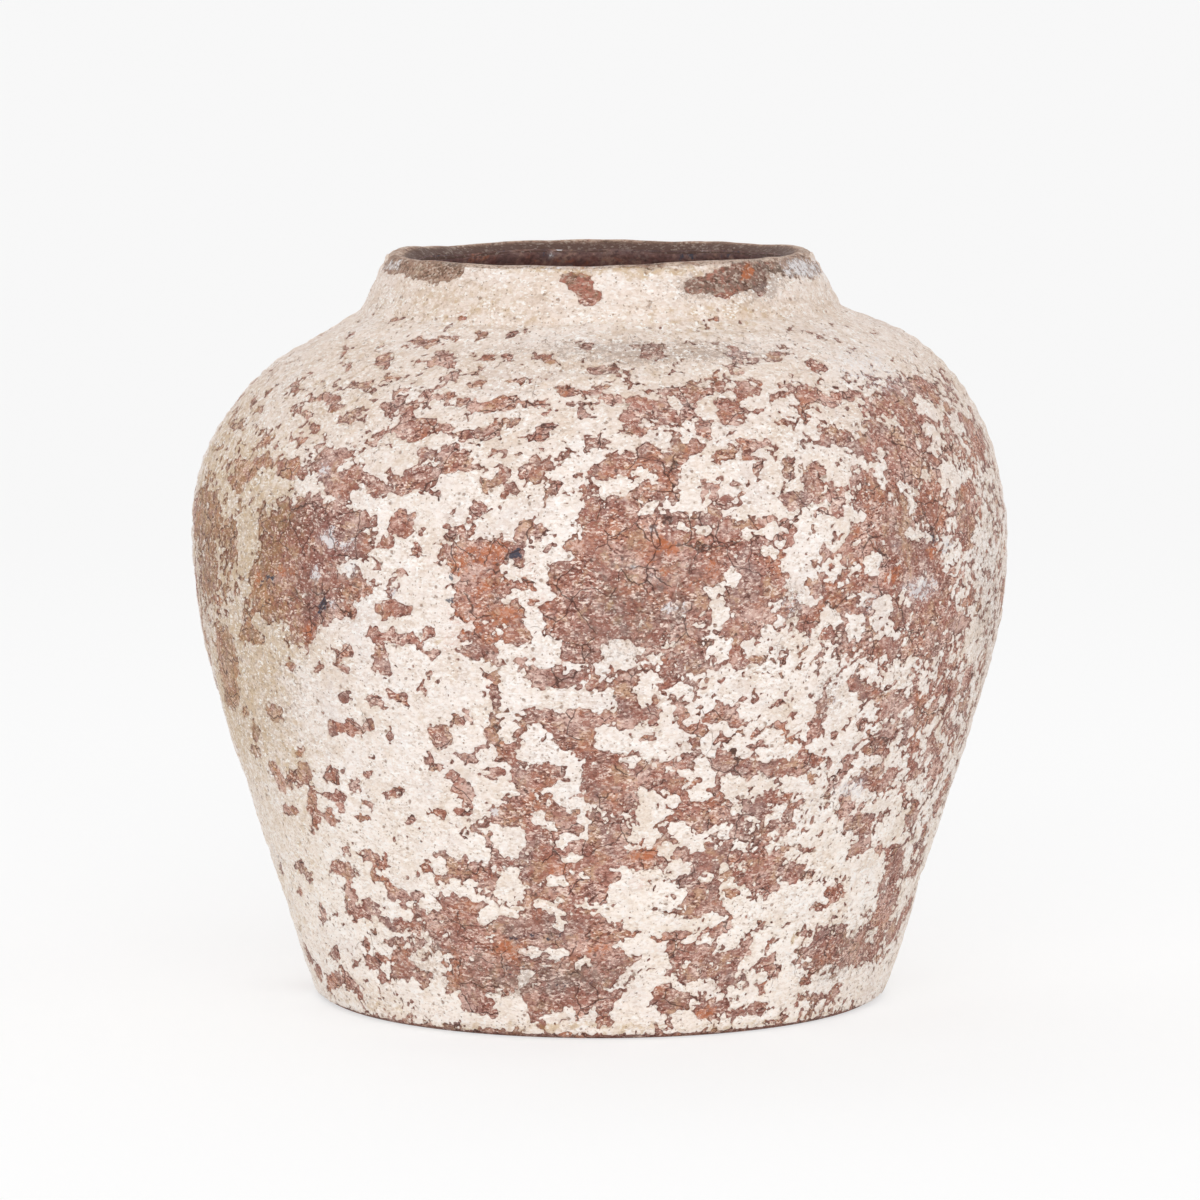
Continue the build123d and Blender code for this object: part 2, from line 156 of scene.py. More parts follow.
    (373, 756, 4, 3, 0, -1.6), (320, 713, 4, 2, 0, -1.5), (306, 774, 9, 11, 0, -2.4),
    (285, 782, 9, 9, 0, -1.8), (276, 766, 5, 8, -20, -1.7), (294, 777, 6, 7, 0, -1.6),
    (331, 775, 9, 8, 0, -2.3), (355, 785, 8, 4, 25, -1.9), (369, 775, 5, 3, 0, -1.8),
    (313, 800, 5, 14, 0, -2.1), (318, 815, 5, 12, -10, -1.9), (336, 796, 13, 4, 10, -2.1),
    (342, 803, 6, 7, 0, -1.9), (331, 817, 9, 5, 35, -2.0), (292, 809, 9, 6, 40, -2.0),
    (315, 826, 4, 8, 0, -1.8), (388, 792, 5, 3, 0, -1.6), (400, 791, 9, 3, 10, -1.9),
    (369, 803, 8, 5, 0, -2.1), (362, 818, 10, 3, 25, -1.9), (400, 838, 6, 2, 0, -1.6),
    (347, 850, 6, 5, 30, -1.8), (341, 868, 12, 9, 0, -2.4), (350, 875, 8, 5, 40, -2.0),
    (368, 855, 10, 5, 25, -1.9), (381, 862, 6, 10, -35, -2.0), (373, 872, 3, 10, 0, -1.8),
    (305, 871, 4, 13, -38, -1.8), (283, 868, 2, 8, -15, -1.5), (302, 892, 3, 6, 0, -1.7),
    (380, 881, 15, 3, 15, -1.9), (391, 891, 6, 11, -20, -2.0), (349, 892, 5, 11, -20, -2.0),
    (355, 910, 11, 9, 30, -2.5), (372, 908, 9, 12, -35, -2.0), (324, 912, 4, 9, -25, -1.8),
    (336, 913, 4, 3, 0, -1.5), (408, 893, 20, 4, 8, -1.9), (403, 902, 12, 3, 45, -1.8),
    (402, 925, 20, 6, 10, -2.3), (418, 912, 5, 10, 0, -1.6), (425, 868, 9, 4, 10, -2.0),
    (378, 705, 10, 3, 25, -1.6), (401, 701, 11, 5, 30, -1.9), (430, 920, 5, 16, -35, -1.8),
    (337, 952, 6, 9, 0, -2.1), (368, 944, 4, 7, -15, -1.8), (375, 932, 3, 4, 0, -1.6),
    (395, 942, 10, 5, 0, -2.0), (400, 955, 6, 14, 0, -2.1), (375, 962, 9, 7, 30, -2.3),
    (357, 963, 4, 5, 0, -2.0), (388, 958, 8, 3, 0, -1.7), (402, 972, 12, 5, 10, -2.0),
    (383, 977, 4, 6, -30, -1.7), (424, 979, 9, 7, 0, -2.1), (411, 965, 5, 6, 0, -1.7),
    (341, 975, 10, 6, 0, -1.8), (353, 984, 10, 6, 35, -2.0), (335, 983, 8, 8, 0, -1.6),
    (363, 993, 3, 5, 0, -1.8), (320, 972, 3, 10, -15, -1.5), (310, 955, 3, 12, -18, -1.6),
    (378, 950, 8, 4, 0, 2.4), (397, 1007, 4, 4, 0, -1.7),
    # The middle of the jar, left of centre above the belly.
    (410, 435, 16, 6, 0, -1.7), (478, 436, 19, 4, 0, -1.5), (426, 454, 5, 8, 20, -1.2),
    (456, 454, 13, 8, 0, -1.6), (456, 467, 20, 7, -10, -1.8), (462, 489, 25, 14, 0, 1.9),
    (411, 478, 22, 15, -10, -1.8), (435, 492, 3, 11, 0, -1.5), (345, 484, 26, 14, 0, -1.6),
    (378, 490, 18, 8, 0, -1.7), (358, 501, 10, 13, 20, 1.7), (385, 505, 14, 10, 0, 1.7),
    (396, 456, 19, 17, 0, 1.7), (346, 465, 7, 4, -20, 1.3), (404, 519, 11, 11, 0, -1.7),
    (405, 531, 19, 6, 0, -1.7), (392, 516, 4, 4, 0, 1.2), (480, 509, 11, 9, -30, -1.7),
    (465, 524, 6, 3, -40, -1.5), (452, 533, 10, 7, 0, -1.7), (471, 531, 4, 6, 20, -1.5),
    (500, 510, 3, 4, 0, -1.5), (503, 535, 5, 2, -10, -1.3), (495, 524, 18, 9, 0, 1.7),
    (498, 477, 14, 7, -38, -1.6), (488, 488, 7, 6, 0, -1.6), (512, 492, 7, 8, 0, -1.7),
    (530, 469, 9, 9, 0, -1.4), (530, 530, 14, 11, 0, -1.8), (551, 530, 6, 3, 10, -1.3),
    (561, 524, 16, 20, 0, 1.9), (548, 555, 24, 8, 0, 1.7), (549, 549, 8, 3, -20, -1.4),
    (541, 571, 10, 12, 0, 1.6), (515, 575, 13, 7, 0, 1.7), (544, 592, 7, 15, 8, 1.7),
    (522, 585, 18, 5, 12, -1.6), (518, 598, 17, 9, 0, 1.8), (536, 625, 8, 18, 0, 1.4),
    (425, 600, 24, 24, 0, 1.9), (385, 608, 9, 9, 0, -1.6), (405, 610, 11, 7, -20, -1.6),
    (390, 587, 8, 8, 0, -1.1), (367, 608, 9, 10, 0, 1.6), (350, 568, 14, 8, 0, 0.9),
    (397, 562, 20, 8, 0, 1.5), (387, 545, 11, 6, 10, -1.6), (418, 551, 7, 9, 0, -1.6),
    (361, 547, 12, 12, 0, -1.4), (404, 572, 4, 7, 0, -1.5), (378, 567, 5, 4, 0, -1.3),
    (375, 633, 8, 6, 35, -1.6), (395, 636, 14, 5, 8, -1.7), (427, 633, 7, 5, 0, -1.6),
    (420, 648, 11, 4, 35, -1.6), (346, 653, 10, 5, -20, -1.6), (377, 650, 4, 11, 0, -1.6),
    (340, 634, 20, 12, 0, 1.8), (450, 632, 12, 13, 0, 1.7), (474, 636, 12, 7, 20, -1.4),
    (490, 651, 16, 7, 18, -1.5), (520, 636, 12, 10, 0, -1.4), (508, 650, 9, 8, 0, 1.5),
    (500, 629, 7, 4, 0, 1.2), (472, 627, 6, 4, 0, 1.2), (545, 652, 18, 12, 0, 1.8),
    (563, 655, 3, 6, 0, -1.5), (590, 650, 14, 11, 0, -1.7),
    # The same side below the belly.
    (440, 735, 11, 12, 0, -1.8), (462, 718, 10, 6, 0, -1.6), (432, 674, 5, 7, 20, -1.5),
    (425, 690, 3, 10, -22, -1.4), (434, 654, 8, 4, 10, -1.5), (467, 757, 13, 6, 22, -1.8),
    (479, 750, 8, 3, -20, -1.6), (430, 759, 4, 9, -28, -1.5), (437, 765, 7, 3, 0, -1.4),
    (451, 773, 5, 6, 0, -1.6), (463, 791, 8, 13, -25, -1.8), (436, 812, 7, 4, 0, -1.6),
    (444, 817, 4, 5, 0, -1.5), (464, 811, 10, 5, 5, -1.7), (411, 818, 8, 5, -12, -1.6),
    (508, 751, 12, 15, 0, -1.8), (493, 730, 5, 15, -8, -1.6), (499, 745, 11, 4, 10, -1.6),
    (506, 738, 5, 5, 0, 1.6), (494, 690, 5, 14, -8, -1.6), (490, 677, 13, 4, 15, -1.7),
    (498, 706, 4, 7, 0, -1.5), (481, 694, 3, 7, -30, -1.3), (556, 679, 28, 8, 0, -1.8),
    (531, 667, 12, 4, 40, -1.6), (554, 669, 9, 5, 0, -1.5), (596, 685, 9, 9, 0, -1.6),
    (590, 672, 4, 7, 0, -1.4), (628, 690, 13, 18, 0, -1.8), (562, 701, 52, 11, 0, 1.9),
    (509, 650, 12, 8, 0, 1.4), (618, 654, 14, 13, 0, 1.7), (640, 664, 6, 9, 20, 1.4),
    (571, 731, 24, 17, 0, -1.9), (601, 722, 12, 8, 0, -1.7), (622, 722, 11, 10, 0, -1.7),
    (534, 716, 16, 7, -12, -1.7), (537, 735, 14, 9, 0, 1.8), (541, 753, 24, 9, 0, 1.9),
    (607, 735, 14, 10, 0, 1.8), (621, 744, 22, 7, 0, 1.7), (572, 769, 9, 14, 0, 1.8),
    (567, 787, 17, 7, 0, 1.8), (557, 796, 13, 5, -30, 1.6), (628, 763, 9, 6, 0, 1.6),
    (594, 763, 3, 3, 0, 1.2), (540, 776, 25, 8, 0, -1.9), (529, 797, 19, 14, 0, -1.8),
    (536, 797, 3, 5, 0, 1.4), (515, 791, 5, 6, 0, 1.5), (532, 815, 30, 12, 0, -1.8),
    (542, 817, 8, 7, 0, 1.7), (549, 826, 5, 4, 30, 1.4), (568, 803, 20, 5, 0, 1.7),
    (582, 814, 6, 11, 0, 1.6), (568, 813, 9, 5, 0, -1.5), (570, 837, 11, 5, 0, 1.7),
    (585, 831, 4, 9, 20, 1.5), (555, 843, 6, 4, 0, 1.5), (643, 825, 11, 9, 0, 1.7),
    (628, 818, 7, 3, 0, 1.5), (632, 847, 9, 3, 0, 1.4), (491, 775, 12, 4, 0, -1.7),
    (490, 845, 20, 5, 60, -1.8), (514, 843, 12, 14, 0, 1.7), (491, 790, 15, 8, 0, 1.7),
    (562, 765, 4, 4, 0, 1.2), (443, 835, 2, 4, 0, -1.4),
    # Right of centre above the belly.
    (635, 428, 11, 5, 0, -1.5), (655, 426, 5, 5, 0, -1.4), (688, 446, 12, 6, 22, -1.6),
    (708, 430, 6, 9, 0, -1.5), (645, 458, 34, 9, -4, -1.7), (646, 443, 7, 4, -40, -1.5),
    (670, 472, 9, 16, 0, -1.8), (655, 490, 18, 8, 0, -1.8), (620, 470, 13, 6, 0, -1.6),
    (642, 473, 7, 6, 0, 1.4), (618, 489, 20, 8, 0, 1.0), (692, 470, 10, 18, 0, 1.8),
    (688, 506, 16, 11, 0, 1.9), (650, 508, 10, 7, 0, 1.6), (668, 508, 4, 9, 10, 1.5),
    (622, 512, 20, 7, 0, -1.6), (748, 444, 13, 6, 10, -1.7), (724, 456, 14, 6, -22, -1.6),
    (754, 456, 13, 4, 20, -1.5), (756, 472, 5, 10, -8, -1.6), (720, 470, 22, 9, 0, 1.7),
    (757, 500, 18, 16, 0, 1.8), (719, 488, 6, 8, 0, -1.5), (703, 488, 5, 6, 0, -1.4),
    (738, 484, 5, 3, 0, -1.3), (740, 498, 3, 10, 0, -1.5), (722, 505, 18, 5, 0, -1.6),
    (734, 514, 9, 5, 0, 1.4), (716, 526, 22, 13, 0, -1.5), (703, 531, 9, 5, 0, 1.7),
    (684, 527, 8, 4, 10, 1.3), (767, 520, 14, 4, 0, -1.6), (745, 523, 6, 6, 0, -1.5),
    (771, 530, 11, 5, 0, 1.6), (748, 534, 9, 4, 0, 1.5), (792, 538, 5, 15, 0, -1.7),
    (787, 471, 5, 12, 0, -1.6), (780, 487, 5, 6, 20, -1.6), (797, 500, 18, 7, 8, -1.7),
    (815, 490, 13, 8, 0, -1.7), (816, 470, 6, 9, 0, -1.7), (812, 482, 3, 8, 10, -1.5),
    (837, 502, 7, 15, 0, -1.8), (822, 512, 9, 4, -25, -1.5), (770, 551, 10, 8, 0, 1.7),
    (711, 549, 6, 5, 0, 1.6), (735, 556, 3, 3, 0, 1.2), (731, 577, 9, 10, 0, 1.7),
    (714, 592, 12, 5, -10, 1.5), (718, 611, 13, 10, 0, 1.7), (716, 627, 5, 9, 0, 1.6),
    (750, 624, 22, 14, 0, -1.8), (768, 633, 7, 5, 0, 1.5), (721, 650, 12, 9, 0, 1.7),
    (753, 648, 14, 6, 0, 1.7), (735, 650, 3, 14, 0, -1.8), (672, 640, 36, 12, 0, -1.9),
    (666, 642, 7, 3, 0, 1.0), (616, 648, 14, 9, 0, 1.8), (655, 659, 6, 4, 0, 1.3),
    (690, 662, 16, 14, 0, -1.5), (756, 661, 20, 5, 0, -1.6), (824, 551, 9, 8, 20, -1.7),
    (835, 533, 4, 6, 0, -1.5), (816, 566, 4, 8, 30, -1.5), (822, 589, 18, 9, 25, -1.8),
    (810, 618, 9, 14, 0, -1.8), (800, 562, 14, 18, 0, 1.8), (790, 607, 13, 5, -10, -1.6),
    (848, 608, 20, 5, 8, -1.6), (842, 625, 4, 8, 0, -1.5), (830, 632, 6, 8, -20, -1.5),
    (841, 650, 8, 12, 0, -1.7), (793, 634, 3, 9, -10, -1.5), (849, 553, 10, 12, 0, -1.5),
    (852, 578, 12, 8, 0, -1.6),
    # The right side below the belly: broken small, so it starts bare and the flakes are laid on.
    (720, 808, 92, 44, 0, -1.3), (735, 765, 72, 14, 0, -1.4), (700, 716, 66, 36, 0, -1.1),
    (785, 735, 40, 26, 0, -0.9), (830, 725, 24, 58, 0, 1.5), (815, 787, 30, 12, -6, 1.5),
    (820, 835, 24, 30, -14, 1.6), (765, 680, 54, 12, 2, 1.6), (735, 688, 16, 8, 20, 1.5),
    (642, 688, 8, 11, 0, 1.6), (656, 677, 5, 7, 0, 1.6), (683, 690, 10, 7, 40, 1.7),
    (690, 672, 5, 4, 0, 1.4), (667, 700, 8, 5, 0, 1.6), (667, 713, 6, 10, 10, 1.7),
    (660, 728, 14, 7, -15, 1.6), (690, 722, 7, 4, 0, 1.6), (674, 735, 16, 6, 0, 1.6),
    (666, 750, 21, 10, -4, 1.8), (645, 700, 5, 9, 0, 1.6), (642, 730, 5, 14, 30, 1.6),
    (706, 692, 8, 5, 0, 1.4), (716, 686, 5, 4, 0, 1.5), (700, 710, 9, 10, 0, 1.3),
    (728, 697, 11, 6, 0, 1.6), (755, 714, 18, 9, 0, 1.7), (750, 728, 10, 6, 0, 1.5),
    (783, 714, 6, 8, 0, 1.5), (720, 728, 13, 5, 0, 1.6), (710, 744, 6, 14, 5, 1.7),
    (727, 734, 7, 5, 0, 1.4), (738, 748, 7, 11, -12, 1.7), (748, 742, 6, 3, 0, 1.4),
    (766, 735, 7, 8, 0, 1.6), (778, 733, 5, 5, 0, 1.3), (765, 754, 6, 6, 0, 1.6),
    (779, 750, 5, 9, -20, 1.4), (792, 748, 8, 6, 0, 1.3), (796, 727, 9, 9, 0, 1.6),
    (806, 690, 16, 18, 0, 1.7), (800, 709, 16, 8, 0, 1.4), (842, 715, 15, 28, 0, 1.8),
    (830, 755, 18, 13, 0, 1.7), (700, 777, 16, 5, 0, 1.8), (703, 767, 5, 9, -40, 1.7),
    (701, 793, 11, 8, -25, 1.8), (709, 785, 5, 6, 0, 1.4), (735, 787, 14, 11, 0, 1.8),
    (758, 784, 11, 11, 0, 1.7), (737, 804, 4, 11, 0, 1.7), (777, 781, 9, 6, 0, 1.6),
    (797, 783, 11, 7, 0, 1.7), (780, 806, 4, 10, 12, 1.6), (773, 815, 7, 4, 0, 1.6),
    (766, 804, 3, 3, 0, 1.2), (755, 819, 8, 3, 0, 1.7), (723, 828, 8, 5, 0, 1.7),
    (709, 833, 5, 6, 0, 1.6), (682, 832, 11, 9, 0, 1.8), (695, 842, 12, 7, 0, 1.8),
    (668, 851, 10, 7, 0, 1.7), (648, 806, 13, 16, 0, 1.7), (645, 835, 12, 9, 0, 1.7),
    (661, 812, 9, 9, 0, 1.6), (674, 801, 7, 5, 0, 1.6), (737, 846, 7, 7, 0, 1.7),
    (755, 849, 4, 4, 0, 1.5), (770, 846, 10, 5, -20, 1.6), (786, 846, 7, 8, -40, 1.7),
    (771, 836, 4, 3, 0, 1.4), (785, 833, 6, 4, 0, 1.5), (792, 859, 13, 10, -10, 1.7),
    (700, 710, 2.5, 2, 0, -1.4), (668, 744, 2, 4, 0, -1.5), (676, 748, 3, 4, 0, -1.4),
    (664, 752, 3, 2, 0, -1.3), (849, 724, 3, 8, 15, -1.7), (862, 722, 4, 9, 0, -1.4),
    (834, 735, 6, 4, -20, -1.4), (825, 751, 2, 4, 0, -1.5), (828, 763, 3, 4, 0, -1.5),
    (748, 678, 4, 3, 0, -1.5), (816, 728, 6, 12, 20, -1.5), (828, 688, 3, 12, 4, -1.7),
    (824, 706, 7, 12, 20, -1.5), (805, 762, 22, 5, -4, -1.4), (825, 778, 16, 3, 4, -1.6),
    (845, 768, 5, 14, 25, -1.6), (749, 787, 2, 4, 0, -1.4), (829, 791, 2, 9, 8, -1.4),
    (812, 820, 4, 3, -30, -1.5), (790, 808, 6, 12, 10, -1.6), (806, 833, 10, 3, -25, -1.4),
    (812, 855, 14, 6, 30, -1.4), (780, 792, 22, 5, 4, -1.3),
    # The same side down to the foot.
    (735, 870, 70, 22, 0, -1.4), (715, 945, 56, 40, 0, -1.4), (700, 905, 22, 26, 0, -1.5),
    (650, 900, 34, 25, 0, 1.8), (650, 926, 28, 9, 0, 1.6), (646, 947, 24, 8, -12, 1.6),
    (650, 967, 16, 9, -14, 1.6), (657, 986, 34, 9, 2, 1.7), (679, 868, 11, 8, -20, 1.7),
    (706, 878, 8, 5, -10, 1.6), (724, 868, 8, 5, -40, 1.7), (738, 869, 4, 4, 0, 1.5),
    (728, 884, 10, 6, 0, 1.6), (724, 896, 6, 5, 0, 1.4), (742, 890, 9, 5, 30, 1.6),
    (735, 905, 17, 6, 8, 1.7), (790, 893, 36, 13, -4, 1.8), (772, 908, 22, 8, -18, 1.6),
    (800, 912, 24, 18, 0, 1.7), (736, 914, 5, 7, 20, 1.5), (712, 921, 11, 6, 0, 1.7),
    (690, 926, 12, 5, 8, 1.6), (743, 926, 11, 8, -25, 1.7), (762, 919, 14, 5, -30, 1.4),
    (690, 940, 8, 4, -20, 1.6), (708, 939, 5, 9, 8, 1.6), (728, 943, 11, 11, -10, 1.8),
    (750, 961, 13, 8, -45, 1.7), (764, 944, 10, 12, -50, 1.7), (782, 929, 18, 6, -18, 1.6),
    (755, 978, 10, 4, -22, 1.5), (787, 966, 14, 36, 6, 1.9), (774, 993, 26, 10, -6, 1.7),
    (746, 1000, 16, 6, -20, 1.7), (708, 987, 10, 5, 0, 1.7), (697, 1002, 9, 4, 10, 1.6),
    (825, 861, 19, 13, -20, 1.7), (828, 878, 10, 6, 0, 1.6), (868, 866, 15, 16, 15, 1.7),
    (862, 893, 12, 14, 10, 1.6), (820, 984, 24, 10, -6, 1.7), (860, 980, 20, 20, -25, 1.8),
    (838, 948, 38, 22, -14, -1.9), (832, 907, 4, 10, 40, 1.6), (846, 912, 4, 12, 22, 1.4),
    (858, 913, 3, 11, 15, 1.4), (851, 925, 4, 10, 10, 1.5), (870, 935, 3, 9, 30, 1.3),
    (818, 908, 6, 5, 0, -1.6), (836, 893, 9, 7, -30, -1.5), (770, 888, 12, 9, 0, -1.7),
    (795, 877, 28, 6, 6, -1.7), (725, 949, 4, 3, 0, -1.4), (745, 948, 7, 8, 0, -1.6),
    (767, 948, 2, 10, 14, -1.5), (772, 968, 9, 9, -40, -1.7), (785, 926, 7, 2, -25, -1.4),
    (762, 927, 15, 4, -14, -1.4), (805, 981, 8, 4, 0, -1.6), (814, 998, 17, 5, 0, -1.5),
    (838, 990, 4, 7, 20, -1.5), (760, 989, 6, 5, -50, -1.4), (654, 887, 2, 5, 0, -1.5),
    (673, 894, 4, 5, 0, -1.6), (670, 911, 18, 3, -3, -1.6), (645, 935, 12, 2, 0, -1.6),
    (663, 939, 12, 3, 0, -1.6), (651, 970, 5, 3, 0, -1.5), (730, 893, 5, 4, 0, -1.4),
    (850, 949, 12, 10, 0, -1.9),
    # The right edge, drawn narrow by the turn of the wall.
    (856, 683, 9, 8, -30, -1.7), (872, 690, 14, 6, 10, -1.4), (888, 698, 28, 5, 0, -1.5),
    (886, 709, 14, 8, 0, -1.1), (914, 714, 6, 20, 28, -1.9), (937, 690, 3, 18, 6, -1.6),
    (950, 692, 7, 15, 4, -1.3), (966, 690, 4, 26, 8, -1.3), (946, 716, 5, 15, 8, -1.3),
    (930, 710, 8, 12, 10, -1.2), (886, 733, 12, 9, -30, -1.7), (876, 748, 16, 9, 0, -1.7),
    (912, 745, 7, 10, 0, -1.7), (932, 746, 8, 12, 8, -1.5), (954, 738, 7, 11, 10, -1.7),
    (884, 758, 4, 14, 20, -1.5), (871, 768, 10, 6, 0, -1.4), (890, 773, 10, 4, -10, -1.7),
    (871, 784, 21, 8, 0, -1.8), (915, 770, 9, 9, 0, -1.2), (932, 776, 6, 18, 16, -1.3),
    (904, 794, 8, 10, 0, -1.5), (909, 820, 6, 20, 20, -1.6), (846, 805, 6, 15, 5, -1.4),
    (868, 822, 23, 9, -14, -1.8), (858, 846, 16, 6, -45, -1.6), (878, 850, 4, 8, 0, -1.7),
    (895, 852, 11, 9, 0, -1.8), (893, 869, 10, 9, -20, -1.7), (922, 835, 3, 24, 18, -1.6),
    (915, 862, 6, 18, 20, -1.5), (936, 805, 3, 18, 14, -1.3), (946, 788, 3, 18, 14, -1.3),
    (883, 925, 4, 40, 22, -1.6), (886, 806, 15, 6, -18, 1.7), (890, 829, 15, 14, -20, 1.7),
    (867, 862, 15, 8, -10, 1.7), (865, 761, 8, 7, 0, 1.6), (893, 761, 8, 8, -30, 1.5),
    (855, 790, 6, 7, 0, 1.6), (912, 790, 6, 7, 10, 1.4),
    # The foot, where the coat runs down to the floor in places.
    (480, 1021, 42, 5, 4, 1.5), (560, 1027, 64, 4, 2, 1.3), (640, 1028, 50, 4, -1, 1.6),
    (715, 1022, 44, 4, -6, 1.3), (400, 1008, 40, 5, 12, 1.2), (790, 1010, 34, 5, -14, 1.2),
    (453, 1007, 7, 14, 0, 2.5), (512, 1008, 13, 15, 20, 2.5), (497, 996, 7, 6, 30, 2.2),
    (548, 1017, 5, 6, 0, 2.0), (570, 1017, 8, 6, 0, 2.2), (590, 1018, 9, 7, -30, 2.2),
    (635, 1012, 25, 14, -10, 2.6), (690, 1017, 11, 7, 0, 2.0), (487, 1007, 10, 7, 0, -2.2),
    (606, 1017, 8, 5, 20, -2.6), (582, 1013, 8, 5, -30, -2.4), (543, 1026, 4, 5, 0, -2.4),
    (495, 1029, 14, 2, 4, -2.4), (560, 1034, 20, 2, 1, -2.2), (668, 1000, 17, 12, -20, -2.6),
    (703, 1011, 9, 6, 0, -2.2), (456, 1023, 6, 3, 0, -1.8), (658, 1031, 6, 2, 0, -2.0),
)


# ---- The jar's section, with the sizes of the solid model.
BELLY_RADIUS = 0.200
BELLY_LEVEL = 0.232
FLARE_RADIUS = 0.300
SHOULDER_RADIUS = 0.105
SHOULDER_RUN = 0.0235
NECK_HEIGHT = 0.027
WALL = 0.011
NECK_WALL = 0.0155
FLOOR = 0.016
COAT = 0.0008
CREST_WIDTH = 0.003
BEVEL_DROP = 0.005
FLARE_LEAN = 18.0
SHOULDER_TURN = 64.0
NECK_LEAN = 28.0
FOOT_ROUND, ROOT_ROUND, LIP_ROUND, CREST_ROUND = 0.0062, 0.0048, 0.0047, 0.0012
BEVEL_ROUND, THROAT_ROUND, FLOOR_ROUND = 0.003, 0.009, 0.026
COATED_LIP_ROUND = 0.0055
PATH_STEP = 0.0004
# Steps of the path that are left out when a level is looked up: the flat underside and the crest.
UNDERSIDE_STEPS, CREST_STEPS = 300, 20


def heading(angle):
    """Unit vector in the section, with the angle counted up from level."""
    turn = math.radians(angle)
    return np.array([math.cos(turn), math.sin(turn)])


FLARE_CENTRE = np.array([BELLY_RADIUS - FLARE_RADIUS, BELLY_LEVEL])
SHOULDER_CENTRE = np.array([BELLY_RADIUS - SHOULDER_RADIUS, BELLY_LEVEL])
SLOPE_START = SHOULDER_CENTRE + heading(SHOULDER_TURN) * SHOULDER_RADIUS
SLOPE_WAY = heading(90 + SHOULDER_TURN)
NECK_WAY = heading(90 + NECK_LEAN)
ROOT = SLOPE_START + SLOPE_WAY * (SHOULDER_RUN / -SLOPE_WAY[0])
CREST = ROOT[1] + NECK_HEIGHT


def reach_level(point, way, level):
    """The point at a level on the line that runs from a point along a way."""
    return point + way * ((level - point[1]) / way[1])


def meet(first, first_way, second, second_way):
    """The point where two lines of the section cross."""
    gap = second - first
    spread = first_way[0] * second_way[1] - first_way[1] * second_way[0]
    return first + first_way * ((gap[0] * second_way[1] - gap[1] * second_way[0]) / spread)


def side_points(depth, neck_depth, low, high):
    """Foot, belly, shoulder, root and top of the jar's side, set in by depth."""
    belly = [FLARE_CENTRE + heading(a) * (FLARE_RADIUS - depth)
             for a in np.linspace(-FLARE_LEAN, 0, 60)]
    shoulder = [SHOULDER_CENTRE + heading(a) * (SHOULDER_RADIUS - depth)
                for a in np.linspace(0, SHOULDER_TURN, 70)[1:]]
    foot = reach_level(belly[0], heading(90 - FLARE_LEAN), low)
    neck_foot = ROOT - heading(NECK_LEAN) * neck_depth
    root = meet(shoulder[-1], SLOPE_WAY, neck_foot, NECK_WAY)
    return foot, belly + shoulder, root, reach_level(neck_foot, NECK_WAY, high)


def round_corners(points, radii):
    """The path through the points with each corner rounded to its own radius."""
    path = [points[0]]
    for before, corner, after, radius in zip(points, points[1:], points[2:], radii[1:]):
        if not radius:
            path.append(corner)
            continue
        back = (before - corner) / np.linalg.norm(before - corner)
        on = (after - corner) / np.linalg.norm(after - corner)
        half = math.acos(float(back @ on)) / 2
        middle = (back + on) / np.linalg.norm(back + on)
        centre = corner + middle * radius / math.sin(half)
        start = corner + back * radius / math.tan(half) - centre
        end = corner + on * radius / math.tan(half) - centre
        for share in np.linspace(0, 1, 14):
            spoke = start * (1 - share) + end * share
            path.append(centre + spoke * radius / np.linalg.norm(spoke))
    return path + [points[-1]]


def jar_section():
    """The clay's section from under the foot, up the outside, over the lip and down inside."""
    foot, side, root, lip = side_points(COAT, COAT, 0, CREST)
    lip_run = COATED_LIP_ROUND * math.tan(math.radians(90 - NECK_LEAN) / 2)
    crest_inner = reach_level(ROOT, NECK_WAY, CREST)[0] - lip_run - CREST_WIDTH
    floor, inside, throat, mouth = side_points(WALL, NECK_WALL, FLOOR, CREST - BEVEL_DROP)
    points = [np.array([0, 0.0]), foot, *side, root, lip, np.array([crest_inner, CREST]),
              mouth, throat, *inside[::-1], floor, np.array([0, FLOOR])]
    radii = [0, FOOT_ROUND, *[0] * len(side), ROOT_ROUND, LIP_ROUND, CREST_ROUND,
             BEVEL_ROUND, THROAT_ROUND, *[0] * len(inside), FLOOR_ROUND, 0]
    return np.array(round_corners(points, radii))


rough_path = jar_section()
rough_run = np.concatenate([[0], np.cumsum(np.linalg.norm(np.diff(rough_path, axis=0), axis=1))])
PATH_RUN = np.arange(0, rough_run[-1], PATH_STEP)
PATH_R = np.interp(PATH_RUN, rough_run, rough_path[:, 0])
PATH_Z = np.interp(PATH_RUN, rough_run, rough_path[:, 1])
lean_r, lean_z = np.gradient(PATH_R), np.gradient(PATH_Z)
lean = np.hypot(lean_r, lean_z)
PATH_OUT_R, PATH_OUT_Z = lean_z / lean, -lean_r / lean
crest_index = int(np.argmax(PATH_Z))
CREST_RUN = PATH_RUN[crest_index]


def run_outside(level):
    """How far along the section a level lies, on the outside."""
    outer = slice(UNDERSIDE_STEPS, crest_index)
    return float(np.interp(level, PATH_Z[outer], PATH_RUN[outer]))


def run_inside(level):
    """How far along the section a level lies, on the inside."""
    inner = slice(crest_index + CREST_STEPS, None)
    return float(np.interp(-level, -PATH_Z[inner], PATH_RUN[inner]))


# ---- Chance: smooth noise that comes out the same each time.
chance = np.random.default_rng(4519)
SHUFFLE = chance.permutation(256)
SLOPES = chance.normal(size=(256, 3))
SLOPES /= np.linalg.norm(SLOPES, axis=1)[:, None]
SWELL_SPREAD = 0.19
LAYER_SHIFT = 19.7


